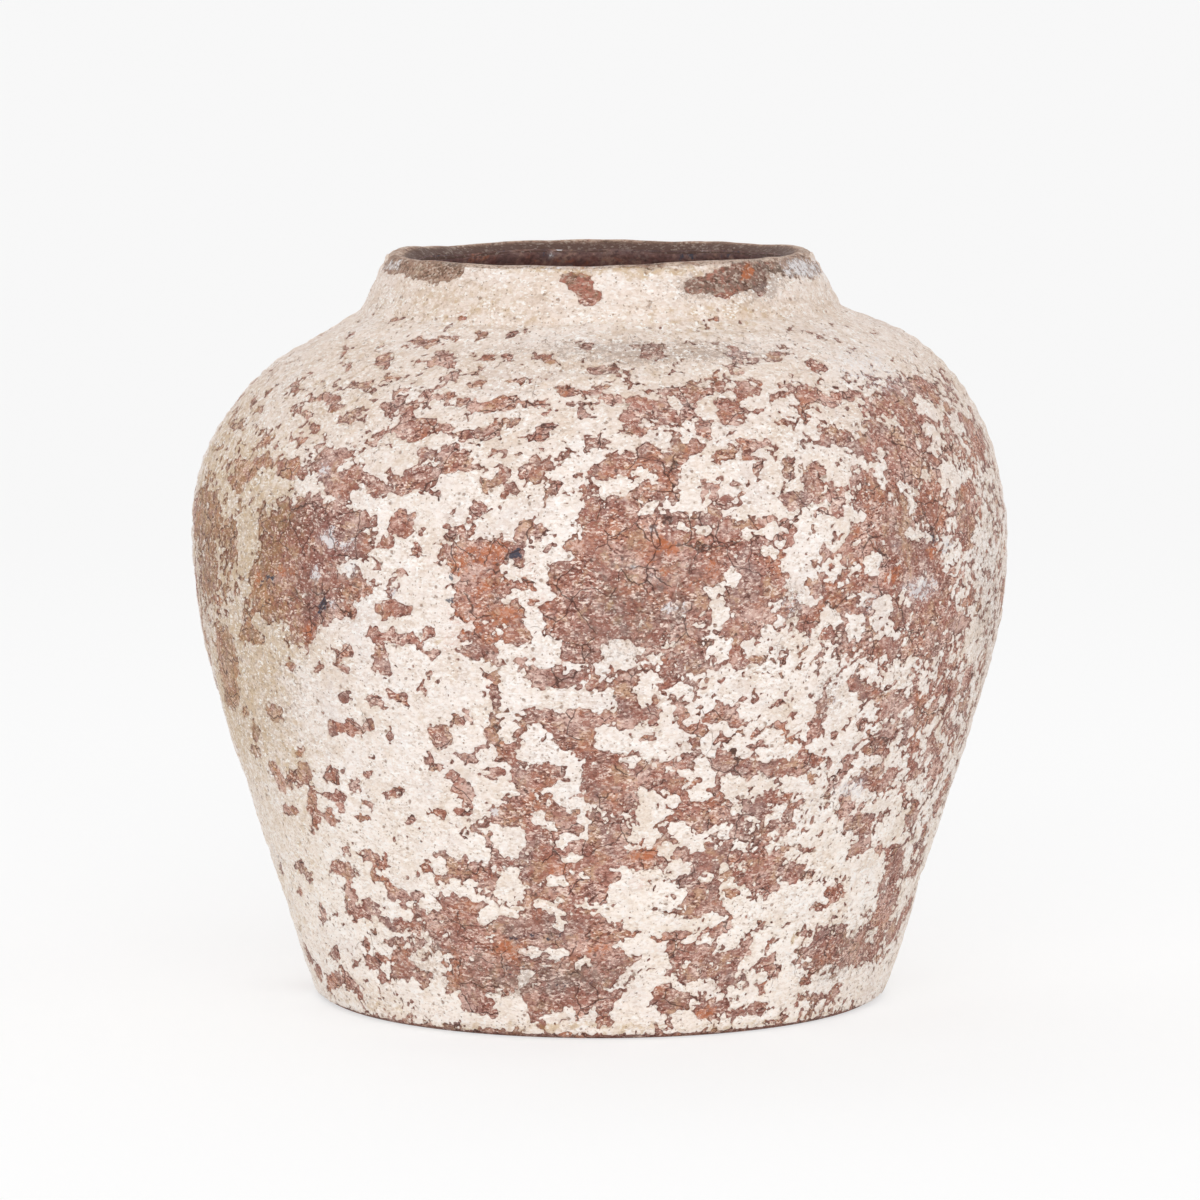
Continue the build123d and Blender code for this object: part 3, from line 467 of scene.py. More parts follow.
def swell(places):
    """Smooth noise of unit spread at places counted in cells."""
    cell = np.floor(places).astype(np.int64)
    part = places - cell
    fade = part * part * part * (part * (part * 6 - 15) + 10)
    total = np.zeros(len(places))
    for dx in (0, 1):
        first = SHUFFLE[(cell[:, 0] + dx) & 255]
        wx = fade[:, 0] if dx else 1 - fade[:, 0]
        for dy in (0, 1):
            second = SHUFFLE[(first + cell[:, 1] + dy) & 255]
            wy = fade[:, 1] if dy else 1 - fade[:, 1]
            for dz in (0, 1):
                slope = SLOPES[SHUFFLE[(second + cell[:, 2] + dz) & 255]]
                wz = fade[:, 2] if dz else 1 - fade[:, 2]
                drop = ((part[:, 0] - dx) * slope[:, 0] + (part[:, 1] - dy) * slope[:, 1]
                        + (part[:, 2] - dz) * slope[:, 2])
                total += wx * wy * wz * drop
    return total / SWELL_SPREAD


def grain(places, cell, shift, layers=4, gain=0.6):
    """Layered noise of unit spread: each layer is half as large and gain times as strong.

    The shift takes it from another part of the noise.
    """
    total, strength, power = np.zeros(len(places)), 1.0, 0.0
    for layer in range(layers):
        total += strength * swell(places / cell + shift + LAYER_SHIFT * layer)
        power += strength ** 2
        cell = cell / 2
        strength *= gain
    return total / math.sqrt(power)


def ease(low, high, value):
    """0 below low, 1 above high and smooth between."""
    share = np.clip((value - low) / (high - low), 0, 1)
    return share * share * (3 - 2 * share)


# ---- The view of the front that places are read from, which is also the camera's.
CAMERA_AT = np.array([0.0, -3.1064, 0.547])
CAMERA_AIM = np.array([0.0, 0.0, 0.1939])
CAMERA_FOCUS = 6353.0
FRAME_MIDDLE = 600.0
SENSOR_WIDTH = 36


def front_places(points, faces):
    """Where points fall in the front view, in its pixels, and how squarely they face it."""
    look = (CAMERA_AIM - CAMERA_AT) / np.linalg.norm(CAMERA_AIM - CAMERA_AT)
    up = np.array([0.0, -look[2], look[1]])
    gap = points - CAMERA_AT
    depth = gap @ look
    square = -np.einsum("ij,ij->i", gap, faces) / np.linalg.norm(gap, axis=1)
    x = FRAME_MIDDLE + CAMERA_FOCUS * gap[:, 0] / depth
    y = FRAME_MIDDLE - CAMERA_FOCUS * (gap @ up) / depth
    return x, y, square


def wall_places(turn, run):
    """Points of the clay's face and the way it faces, before any relief."""
    r, z = np.interp(run, PATH_RUN, PATH_R), np.interp(run, PATH_RUN, PATH_Z)
    out_r, out_z = np.interp(run, PATH_RUN, PATH_OUT_R), np.interp(run, PATH_RUN, PATH_OUT_Z)
    points = np.stack([r * np.sin(turn), -r * np.cos(turn), z], 1)
    faces = np.stack([out_r * np.sin(turn), -out_r * np.cos(turn), out_z], 1)
    return points, faces


# How far the right side stands above the middle at each level, and how far the lip rises at
# the back left.
LIST_LEVELS = (0.255, 0.277, 0.290, 0.300, 0.318, 0.330, 0.335, 0.365)
LIST_RISES = (0, 0.0016, 0.0032, 0.0032, 0.0038, 0.0027, 0.0014, 0.0015)
LIP_WAVE, BACK_LEFT_RISE = 0.0004, 0.0013


def settle(points):
    """The slight list of the fired jar, higher at the right of the shoulder, and its wavy lip."""
    x, y, z = points.T
    reach = np.maximum(np.hypot(x, y), 0.001)
    list_at = np.interp(z, LIST_LEVELS, LIST_RISES)
    at_lip = ease(0.335, 0.36, z)
    back_left = (0.66 * y - 0.75 * x) / reach
    wave = LIP_WAVE * at_lip * swell(np.stack([x * 22, y * 22, 0 * z + 3.3], 1))
    wave = wave + BACK_LEFT_RISE * at_lip * ease(0.3, 0.95, back_left)
    return np.stack([x, y, z + list_at * (x / reach) + wave], 1)


def brush(rows, x, y, value, soft=0.45):
    """Lays rows of soft ellipses over a value, the later ones on top."""
    for at_x, at_y, half_x, half_y, turn, level in rows:
        near = np.nonzero((np.abs(x - at_x) < 1.5 * (half_x + half_y))
                          & (np.abs(y - at_y) < 1.5 * (half_x + half_y)))[0]
        c, s = math.cos(math.radians(turn)), math.sin(math.radians(turn))
        dx, dy = x[near] - at_x, y[near] - at_y
        reach = np.hypot((dx * c + dy * s) / half_x, (dy * c - dx * s) / half_y)
        share = ease(1 + soft, 1 - soft, reach)
        value[near] = value[near] * (1 - share) + level * share
    return value


# How firmly the coat holds at each level where no row says otherwise.
STEADY_LEVELS = (0.004, 0.02, 0.14, 0.25, 0.29, 0.318, 0.338, 0.345)
STEADY_HOLD = (0.2, 0.6, 0.6, 0.6, 0.85, 1.3, 1.8, 2.8)
# Cells of the noise that frays the flakes' edges and of the flakes that come by chance.
STRAY_CELL = np.array([0.007, 0.007, 0.0056])
RAGGED_CELL = np.array([0.0056, 0.0056, 0.0048])
STREAKY_CELL = np.array([0.014, 0.014, 0.0046])
BROAD_CELL = np.array([0.11, 0.11, 0.09])
MIDDLING_CELL = np.array([0.034, 0.034, 0.026])


def coat_hold(points, faces):
    """How firmly the lime coat holds at each place: above 0 it is there."""
    x, y, square = front_places(settle(points), faces)
    z = points[:, 2]
    steady = np.interp(z, STEADY_LEVELS, STEADY_HOLD)
    # The rows' ellipses are frayed by a few pixels, and by less on the neck.
    loose = 1 - 0.5 * ease(0.325, 0.34, z)
    stray_x = grain(points, STRAY_CELL, 5.5, 3, 0.75)
    stray_y = grain(points, STRAY_CELL, 77.7, 3, 0.75)
    front = brush(COAT_ROWS, x + 2.8 * loose * stray_x * square, y + 2.2 * loose * stray_y,
                  steady.copy())
    # Behind, broad and middling patches come by chance. The two meet where the wall turns away.
    broad = grain(points, BROAD_CELL, 3.1, 2)
    middling = grain(points, MIDDLING_CELL, 29.3, 3, 0.75)
    far = steady * 0.8 - 0.45 + 0.75 * broad + 1.35 * middling
    seen = ease(0.03, 0.1, square + 0.03 * stray_x)
    hold = far * (1 - seen) + front * seen
    # The edges break up raggedly on the wall, and in level streaks on the shoulder.
    bent = points + 0.0012 * np.stack([stray_x, stray_y, stray_x], 1)
    broken = 0.85 + 0.3 * ease(660, 800, x)
    ragged = broken * grain(bent, RAGGED_CELL, 11.3, 3, 0.85)
    streaky = grain(bent, STREAKY_CELL, 47.9, 3, 0.8)
    high = ease(0.262, 0.292, z)
    return hold + ragged * (1 - high) + streaky * high


# ---- Stains that are seen on the front, in the same rows: x, y, half width, half height, turn
# and strength. Each kind is kept on the mesh as a value that its material reads.
STAIN_ROWS = {
    # Orange and rust burns.
    "rust": (
        (488, 552, 24, 9, -8, 0.75), (462, 566, 8, 9, 0, 0.7), (481, 588, 7, 16, 0, 0.55),
        (507, 614, 13, 9, 0, 0.7), (532, 574, 12, 8, 0, 0.5), (466, 622, 15, 14, 0, 0.6),
        (455, 642, 12, 9, 0, 0.5), (540, 600, 10, 14, 0, 0.4), (668, 545, 14, 6, 45, 1.0),
        (653, 561, 9, 4, 48, 0.9), (667, 569, 7, 6, 0, 0.5), (713, 570, 9, 9, 0, 0.7),
        (690, 585, 8, 6, 0, 0.4), (286, 570, 16, 8, 0, 0.5), (262, 578, 7, 8, 0, 0.7),
        (310, 628, 14, 9, 0, 0.6), (748, 271, 5, 9, 0, 1.0), (932, 552, 5, 6, 0, 1.0),
        (892, 575, 7, 6, 0, 0.8), (905, 560, 16, 20, 0, 0.3), (510, 950, 20, 9, 0, 0.7),
        (645, 852, 18, 10, 0, 0.7), (600, 950, 13, 9, 0, 0.6), (560, 870, 15, 8, 0, 0.6),
        (640, 880, 16, 8, 0, 0.4), (705, 1012, 12, 5, 0, 0.8), (464, 315, 5, 2, 0, 1.0),
        (522, 729, 3, 3, 0, 1.0), (552, 906, 30, 6, 0, 0.35), (700, 720, 24, 12, 0, 0.3),
        (470, 560, 60, 30, 0, 0.28), (480, 600, 46, 44, 0, 0.25),
    ),
    # Dark blue-black iron spots and slits.
    "iron": (
        (517, 553, 8, 5, -15, 1.0), (455, 576, 4, 5, 0, 0.9), (450, 600, 4, 4, 0, 0.8),
        (322, 605, 3, 10, 18, 1.0), (272, 578, 4, 5, 0, 1.0), (932, 535, 6, 6, 0, 0.8),
        (540, 936, 42, 2.4, 0, 0.6), (605, 1012, 10, 3, 0, 0.5), (520, 968, 34, 3, 0, 0.35),
        (560, 984, 40, 3, 0, 0.35), (720, 608, 14, 2.4, 0, 0.3),
    ),
    # White bloom and pale crystals, and a painted highlight along the near lip's inner edge.
    "bloom_and_highlight": (
        (330, 538, 9, 9, 40, 0.95), (346, 547, 8, 5, 0, 0.9), (315, 574, 6, 8, 0, 0.7),
        (323, 470, 6, 7, 0, 0.7), (352, 568, 11, 7, 0, 0.55), (395, 590, 5, 4, 0, 0.8),
        (330, 606, 5, 5, 0, 0.9), (860, 366, 32, 18, 12, 0.55), (888, 384, 16, 12, 0, 0.4),
        (918, 590, 16, 11, 0, 0.7), (945, 545, 8, 6, 0, 0.7), (892, 548, 7, 5, 0, 0.6),
        (870, 600, 12, 14, 0, 0.4), (850, 790, 14, 10, 0, 0.7), (812, 800, 10, 8, 0, 0.4),
        (495, 812, 6, 5, 0, 0.8), (590, 597, 4, 3, 10, 0.9), (651, 531, 7, 4, 0, 0.6),
        (671, 606, 5, 7, 0, 0.7), (684, 607, 5, 4, 0, 0.6), (656, 582, 10, 2.5, 35, 0.6),
        (634, 564, 6, 4, 0, 0.6), (803, 268, 20, 10, 6, 0.8), (392, 266, 9, 4, 0, 0.7),
        (790, 605, 14, 10, 0, 0.35), (760, 290, 8, 5, 0, 0.3), (672, 270, 26, 3, 0, 0.35),
        # The thin line at 560, 266 runs along the near lip's inner edge: a painted highlight.
        (560, 266, 70, 2.5, 1, 0.45), (268, 860, 18, 14, 0, 0.5), (290, 905, 14, 10, 0, 0.4),
        (840, 700, 12, 10, 0, 0.35), (860, 870, 12, 12, 0, 0.35), (742, 352, 30, 8, 0, 0.3),
    ),
    # Grey and olive grime.
    "grime": (
        (650, 353, 125, 13, 0, 0.75), (590, 372, 60, 8, 0, 0.4), (480, 352, 50, 8, 0, 0.35),
        (700, 384, 60, 8, 4, 0.35), (540, 978, 84, 20, 0, 0.8), (500, 960, 40, 14, 0, 0.5),
        (452, 262, 13, 9, 0, 0.6), (640, 268, 60, 4, 2, 0.5), (706, 286, 38, 14, -6, 0.8),
        (752, 279, 30, 22, 0, 1.0), (762, 285, 14, 14, 0, 1.0), (262, 640, 56, 150, -8, 0.4),
        (640, 596, 76, 62, 0, 0.5), (610, 640, 40, 24, 0, 0.5), (676, 612, 16, 14, 0, 0.7),
        (670, 1003, 13, 6, 0, 0.6), (550, 1003, 12, 6, 0, 0.5), (520, 926, 60, 12, 0, 0.4),
        (202, 560, 10, 90, 0, 0.6), (790, 605, 12, 26, 0, 0.6), (829, 690, 14, 30, 10, 0.5),
        (833, 968, 30, 14, -20, 0.6), (860, 940, 24, 18, -20, 0.5), (985, 600, 14, 80, 0, 0.5),
        (320, 590, 60, 44, 0, 0.4), (290, 520, 44, 24, 0, 0.5), (527, 722, 6, 5, 0, 0.8),
        (900, 520, 36, 50, 0, 0.35), (560, 806, 60, 40, 0, 0.25), (430, 950, 30, 30, 0, 0.4),
    ),
    # Pale pink and red clay.
    "rose": (
        (302, 518, 38, 18, 0, 0.95), (270, 545, 15, 34, 0, 0.95), (312, 560, 36, 34, 0, 0.7),
        (300, 604, 34, 20, 0, 0.7), (215, 540, 20, 50, 0, 0.6), (480, 1004, 22, 8, 0, 0.4),
        (580, 993, 46, 7, 0, 0.4), (588, 288, 26, 20, 30, 0.85), (710, 288, 38, 14, 0, 0.85),
        (757, 284, 12, 12, 0, 1.0), (738, 272, 34, 9, -8, 1.0), (690, 1000, 40, 8, 0, 0.3),
        (400, 1010, 40, 8, 12, 0.3), (610, 520, 60, 24, 0, 0.35), (560, 560, 30, 20, 0, 0.4),
        (730, 640, 40, 30, 0, 0.35), (940, 560, 30, 40, 0, 0.35), (700, 560, 30, 26, 0, 0.3),
        (780, 1010, 60, 8, -8, 0.5), (350, 980, 20, 12, 20, 0.4), (640, 980, 40, 10, 0, 0.35),
    ),
    # Yellow ochre dots and earth.
    "ochre": (
        (440, 640, 2.6, 2.6, 0, 1.0), (796, 937, 4, 3, 0, 1.0), (485, 484, 2.6, 2.6, 0, 1.0),
        (612, 605, 5, 4, 0, 0.9), (632, 575, 7, 4, 0, 0.7), (640, 330, 46, 14, 0, 0.3),
        (560, 300, 40, 14, 0, 0.2), (425, 268, 36, 9, 8, 0.2), (600, 271, 110, 4, 1, 0.8),
        (648, 272, 42, 5, 0, 0.9), (515, 946, 22, 9, 0, 0.4), (560, 1026, 150, 4, 0, 0.6),
        (380, 1006, 50, 4, 14, 0.5), (780, 1020, 70, 4, -8, 0.5), (640, 858, 20, 12, 0, 0.3),
        (690, 452, 30, 10, 0, 0.2), (330, 700, 50, 40, 0, 0.15), (240, 500, 56, 120, 0, 0.85),
        (290, 850, 44, 90, -14, 0.3), (480, 310, 130, 26, 0, 0.34), (700, 320, 110, 22, 0, 0.4),
        (330, 390, 90, 50, -30, 0.3), (600, 375, 200, 24, 0, 0.26), (470, 300, 40, 14, 0, 0.45),
        (256, 700, 60, 120, -6, 0.85),
    ),
}

# The same kinds on the far wall that shows through the mouth.
MOUTH_ROWS = {
    "rust": ((482, 257, 16, 4, 0, 0.6), (470, 252, 5, 3, 0, 0.5), (530, 257, 14, 3, 0, 0.4),
             (620, 260, 18, 3, 0, 0.4), (662, 252, 5, 2, 0, 0.8), (570, 262, 30, 3, 0, 0.4)),
    "iron": ((502, 249, 7, 5, 0, 0.7), (548, 252, 6, 5, 0, 0.5), (690, 255, 14, 4, 0, 0.6),
             (440, 256, 8, 4, 0, 0.5), (600, 250, 6, 4, 0, 0.5), (730, 252, 12, 4, 0, 0.5)),
    "bloom_and_highlight": ((556, 251, 3, 2, 0, 1.0), (480, 247, 20, 2, 0, 0.4), (700, 247, 30, 2, 0, 0.4)),
    "grime": ((600, 250, 170, 4, 0, 0.4),),
    "rose": ((600, 263, 150, 4, 0, 0.6), (540, 258, 40, 4, 0, 0.3)),
    "ochre": ((640, 246, 120, 2.5, 0, 0.3),),
}


# Where the front's rows don't reach, each kind comes by chance: the size of its cells in metres,
# the noise at which it starts and is full, and how strong it gets.
CHANCE_MARKS = {
    "rust": (0.014, 1.4, 2.6, 0.6), "iron": (0.006, 2.7, 3.1, 0.9), "bloom_and_highlight": (0.012, 1.9, 2.7, 0.7),
    "grime": (0.06, 0.6, 2.4, 0.5), "rose": (0.05, 0.2, 1.6, 0.6), "ochre": (0.07, 0.3, 2.0, 0.35),
}


def stains(rows, points, faces):
    """Each kind of stain at each place: read from its rows in front, and by chance behind."""
    x, y, square = front_places(settle(points), faces)
    seen = ease(0.0, 0.12, square)
    stray = 2.2 * grain(points, 0.006, 61.1, 2)
    marks = {}
    for number, (kind, kind_rows) in enumerate(rows.items()):
        broad_first = sorted(kind_rows, key=lambda row: -row[2] * row[3])
        front = brush(broad_first, x + stray, y - stray, np.zeros(len(points)), 0.6)
        cell, low, high, most = CHANCE_MARKS[kind]
        chance_mark = most * ease(low, high, grain(points, cell, 90.0 + 7 * number, 2))
        marks[kind] = front * seen + chance_mark * (1 - seen)
    return marks


# ---- Mesh makers.
def make_piece(name, points, corners, counts, marks, values, sharp):
    """An object from its points, the corners of its faces in a row and how many each face has."""
    mesh = bpy.data.meshes.new(name)
    mesh.vertices.add(len(points))
    mesh.vertices.foreach_set("co", points.astype(np.float32).ravel())
    mesh.loops.add(len(corners))
    mesh.loops.foreach_set("vertex_index", corners.astype(np.int32))
    mesh.polygons.add(len(counts))
    starts = np.concatenate([[0], np.cumsum(counts)[:-1]])
    mesh.polygons.foreach_set("loop_start", starts.astype(np.int32))
    mesh.update(calc_edges=True)
    mesh.shade_smooth()
    ends = np.empty(len(mesh.edges) * 2, np.int32)
    mesh.edges.foreach_get("vertices", ends)
    ends = ends.reshape(-1, 2)
    edge_sharp = mesh.attributes.new("sharp_edge", "BOOLEAN", "EDGE")
    edge_sharp.data.foreach_set("value", sharp(ends[:, 0], ends[:, 1]))
    layer = mesh.uv_layers.new(name="OFBake")
    layer.data.foreach_set("uv", marks.astype(np.float32).ravel())
    for kind, value in values.items():
        mark = mesh.attributes.new(kind, "FLOAT", "POINT")
        mark.data.foreach_set("value", value.astype(np.float32))
    piece = bpy.data.objects.new(name, mesh)
    bpy.context.scene.collection.objects.link(piece)
    return piece


# Room left round each strip of the flat pattern, and how far a pole lies past its ring there.
SIDE_MARGIN, STRIP_MARGIN, POLE_REACH = 0.004, 0.012, 0.004


def strip_places(column, cell, columns, share, strips):
    """Places in the unit square, with the ring cut in strips that lie one above the other."""
    strip = np.floor(cell * strips / columns)
    across = column * strips / columns - strip
    return np.stack([SIDE_MARGIN + (1 - 2 * SIDE_MARGIN) * across,
                     (strip + STRIP_MARGIN + (1 - 2 * STRIP_MARGIN) * share) / strips], 1)


def grid_of(rows, columns):
    """Every pair of a row and a column, row by row."""
    return [part.ravel() for part in np.meshgrid(rows, columns, indexing="ij")]


def turned_piece(name, rows, values, sharp_rows, poles):
    """A ring from rows of points round the axis. Its section is closed, or ends in two poles."""
    count, columns = rows.shape[0], rows.shape[1]
    # How far along the section each row lies, and in how many strips the ring is laid flat.
    step = np.linalg.norm(np.diff(rows[:, 0], axis=0), axis=1)
    closing = np.linalg.norm(rows[-1, 0] - rows[0, 0])
    along = np.concatenate([[0], np.cumsum(step), [step.sum() + closing]])
    width = 2 * math.pi * np.hypot(rows[:, 0, 0], rows[:, 0, 1]).max()
    strips = max(1, round(math.sqrt(width / along[-1])))
    last = count - 1 if poles else count
    i, j = grid_of(np.arange(last), np.arange(columns))
    right, above = (j + 1) % columns, (i + 1) % count
    corners = np.stack([i * columns + j, i * columns + right,
                        above * columns + right, above * columns + j], 1)
    places = [strip_places(j + dj, j, columns, along[i + di] / along[-1], strips)
              for dj, di in ((0, 0), (1, 0), (1, 1), (0, 1))]
    marks = np.stack(places, 1)
    points = rows.reshape(-1, 3)
    counts = np.full(len(corners), 4)
    if poles:
        # A fan of triangles closes the section at the axis, below and above.
        low, high = len(points), len(points) + 1
        ring = np.arange(columns)
        turn_on = (ring + 1) % columns
        top = (count - 1) * columns
        fans = np.concatenate([np.stack([0 * ring + low, turn_on, ring], 1),
                               np.stack([top + ring, top + turn_on, 0 * ring + high], 1)])
        low_fan = ((0.5, -POLE_REACH), (1, 0), (0, 0))
        high_fan = ((0, 1), (1, 1), (0.5, 1 + POLE_REACH))
        fan_marks = [
            np.stack([strip_places(ring + on, ring, columns, share + 0 * ring, strips)
                      for on, share in fan], 1).reshape(-1, 2)
            for fan in (low_fan, high_fan)]
        ends = np.array([[0, 0, rows[0, :, 2].mean()], [0, 0, rows[-1, :, 2].mean()]])
        points = np.concatenate([points, ends])
        values = {kind: np.concatenate([value, value[:1], value[-1:]])
                  for kind, value in values.items()}
        all_corners = np.concatenate([corners.ravel(), fans.ravel()])
        all_marks = np.concatenate([marks.reshape(-1, 2), *fan_marks])
        counts = np.concatenate([counts, np.full(len(fans), 3)])
    else:
        all_corners, all_marks = corners.ravel(), marks.reshape(-1, 2)

    def sharp(first, second):
        """Whether an edge lies along one of the sharp rows."""
        row = first // columns
        return (row == second // columns) & np.isin(row, sharp_rows)

    return make_piece(name, points, all_corners, counts, all_marks, values, sharp)


# ---- The clay's face: finger ridges, dents and the joints of the sections.
RIDGE_PITCH = 0.0095
# The joint lines that show on the front: the level and the depth of each.
LUTED_LINES = ((0.053, 0.0004), (0.0835, 0.00032), (0.139, 0.00034))
LUTED_WIDTH = 0.0014


def relief(points, run):
    """How far the clay stands out or in at each place, in metres."""
    z = points[:, 2]
    # Ridges that wander a little, and broad and small dents.
    drift = swell(points * np.array([13, 13, 9]) + 31)
    ridge = np.sin(2 * math.pi * (run / RIDGE_PITCH + 0.32 * drift))
    dents = 0.00042 * swell(points * 17 + 5) + 0.00016 * swell(points * 60 + 9)
    # The joint lines waver, and fade out here and there round the jar.
    wobble = z + 0.0011 * swell(points * np.array([16, 16, 1]) + 77)
    luted = 0
    for level, depth in LUTED_LINES:
        luted = luted + depth * np.exp(-((wobble - level) / LUTED_WIDTH) ** 2)
    luted = luted * ease(-1.0, 0.8, swell(points * 21 + 50))
    # The ridges are stronger on the shoulder, strongest inside, and the foot stays flat.
    thrown = 0.00008 + 0.00013 * ease(0.2, 0.28, z)
    outside = ease(CREST_RUN + 0.001, CREST_RUN - 0.006, run)
    face = outside * (thrown * ridge - luted) + (1 - outside) * 0.0004 * ridge * ease(0.36, 0.34, z)
    return (face + dents) * ease(0, 0.012, z)


TURNS = 640
ALL_TURNS = np.arange(TURNS) * (2 * math.pi / TURNS)


def clay_rows(runs, lift=0.0, columns=None):
    """Rows of points on the clay's face, with their run, place and facing before settling."""
    turns = ALL_TURNS if columns is None else np.arange(columns) * (2 * math.pi / columns)
    run, turn = grid_of(runs, turns)
    points, faces = wall_places(turn, run)
    stood = points + faces * (relief(points, run) + lift)[:, None]
    return settle(stood).reshape(len(runs), len(turns), 3), points, faces, run


def steps(start, end, pitch):
    """Even steps from start to end, about a pitch apart."""
    return np.linspace(start, end, max(2, round(abs(end - start) / pitch) + 1))


# The clay sections from the bottom up, with the levels of the joint above each, outside and in.
FOOT_JOINT, LOWER_JOINT, NECK_JOINT = 0.053, 0.1393, 0.3378
JOINTS = ((0.024, 0.0291), (FOOT_JOINT, 0.0581), (LOWER_JOINT, 0.1444), (BELLY_LEVEL, 0.2369),
          (0.292, 0.2857), (NECK_JOINT, 0.3290), (0.3498, 0.3576))
CLAY_PIECES = ("base_slab", "foot_wall", "lower_wall", "belly_wall", "shoulder_wall",
               "upper_shoulder", "neck_collar", "rim_lip")
JOINT_RUNS = [(run_outside(outer), run_inside(inner)) for outer, inner in JOINTS]
GLAZE_TOP = run_inside(0.3606)
# How far apart the rows of points lie, outside, over the lip, inside and under the foot.
OUT_PITCH = 0.0022
LIP_PITCH = OUT_PITCH * 0.8
IN_PITCH = 0.0075
UNDER_PITCH = 0.009
# The flat of the foot: where its rows start, where they close up, and the hole left at the axis.
UNDER_START, UNDER_END, AXIS_GAP = 0.012, 0.13, 0.012


def inner_lift(run):
    """The clay behind the glaze stays a little back, so that it can't show through."""
    return -0.0006 * ease(GLAZE_TOP + 0.002, GLAZE_TOP + 0.008, run)


def clay_section(runs):
    """Rows of one face of a clay section, and what its material reads there."""
    rows, points, faces, run = clay_rows(runs)
    back = inner_lift(run).reshape(rows.shape[:2] + (1,))
    rows = rows + faces.reshape(rows.shape) * back
    outside = run < CREST_RUN + 0.002
    values = {kind: np.zeros(len(points)) for kind in STAIN_ROWS}
    values["lime"] = np.full(len(points), -3.0)
    values["mouth"] = ease(CREST_RUN + 0.003, CREST_RUN + 0.006, run)
    if outside.any():
        for kind, value in stains(STAIN_ROWS, points[outside], faces[outside]).items():
            values[kind][outside] = value
        values["lime"][outside] = coat_hold(points[outside], faces[outside])
    return rows, values


def join_rows(low, high):
    """Two more rows between the last row of one face and the first of the next."""
    return np.stack([low * (1 - share) + high * share for share in (0.33, 0.67)])


def clay_piece(number):
    """One section of the jar's clay body."""
    name = CLAY_PIECES[number]
    first, last = number == 0, number == len(JOINTS)
    below = None if first else JOINT_RUNS[number - 1]
    above = None if last else JOINT_RUNS[number]
    if last:
        faces = [steps(below[0], below[1], LIP_PITCH)]
    elif first:
        under = steps(UNDER_START, UNDER_END, UNDER_PITCH)[:-1]
        faces = [np.concatenate([under, steps(UNDER_END, above[0], OUT_PITCH)]),
                 steps(above[1], PATH_RUN[-1] - AXIS_GAP, IN_PITCH)]
    else:
        faces = [steps(below[0], above[0], OUT_PITCH), steps(above[1], below[1], IN_PITCH)]
    made = [clay_section(runs) for runs in faces]
    blocks, values, corner_rows, total = [], [], [], 0
    for index, (rows, value) in enumerate(made):
        blocks.append(rows)
        values.append(value)
        corner_rows += [total, total + len(rows) - 1]
        total += len(rows)
        if first and index == 1:
            break
        between = join_rows(rows[-1], made[(index + 1) % len(made)][0][0])
        blocks.append(between)
        values.append({kind: np.zeros(between.shape[0] * TURNS) for kind in value})
        total += len(between)
    rows = np.concatenate(blocks)
    together = {kind: np.concatenate([value[kind] for value in values]) for kind in values[0]}
    if first:
        corner_rows = corner_rows[1:3]
    return turned_piece(name + "_fired", rows, together, corner_rows, first)


GLAZE_COLUMNS = 400
GLAZE_PITCH, GLAZE_BACK_PITCH = (0.0032), 0.014
GLAZE_SUNK, GLAZE_EDGE, GLAZE_BODY, GLAZE_UNEVEN = -0.0002, 0.0001, 0.0005, 0.00006


def glaze_piece():
    """The thin dull glaze and residue that lines the jar."""
    end = PATH_RUN[-1] - 0.01
    back = clay_rows(steps(end, GLAZE_TOP, GLAZE_BACK_PITCH), GLAZE_SUNK, GLAZE_COLUMNS)[0]
    face, points, faces, run = clay_rows(steps(GLAZE_TOP, end, GLAZE_PITCH), 0.0, GLAZE_COLUMNS)
    lift = (GLAZE_EDGE + GLAZE_BODY * ease(GLAZE_TOP, GLAZE_TOP + 0.003, run)
            + GLAZE_UNEVEN * grain(points, 0.008, 8.8, 2))
    stood = points + faces * (relief(points, run) + lift)[:, None]
    face = settle(stood).reshape(face.shape)
    values = {kind: np.concatenate([np.zeros(len(back) * GLAZE_COLUMNS), value])
              for kind, value in stains(MOUTH_ROWS, points, faces).items()}
    rows = np.concatenate([back, face])
    return turned_piece("inner_glaze_skin", rows, values, [len(back) - 1, len(back)], True)


# ---- The lime coat: flakes cut out where it holds, each with its own broken edge.
COAT_PITCH = 0.00096
COAT_TURNS = round(2 * math.pi * BELLY_RADIUS / COAT_PITCH)
COAT_RUNS = steps(run_outside(0.0008), run_outside(0.3643), COAT_PITCH)
# The bands of the coat and the level at which each ends; the last runs to the crest.
COAT_BANDS = (("lime_coat_foot", FOOT_JOINT), ("lime_coat_lower", LOWER_JOINT),
              ("lime_coat_belly", BELLY_LEVEL), ("lime_coat_shoulder", NECK_JOINT),
              ("lime_coat_neck", None))
# A break lies no nearer to a corner of its cell than this share, the foot of a broken edge is sunk
# in the clay, and the edge is thinner than the rest.
LEAST_SHARE = 0.06
COAT_SUNK = 0.00025
EDGE_THICK, BODY_THICK = 0.42, 0.5
COAT_UNEVEN = 0.00009
# How far a broken side reaches past its edge in the flat pattern, in cells.
EDGE_REACH = 0.16
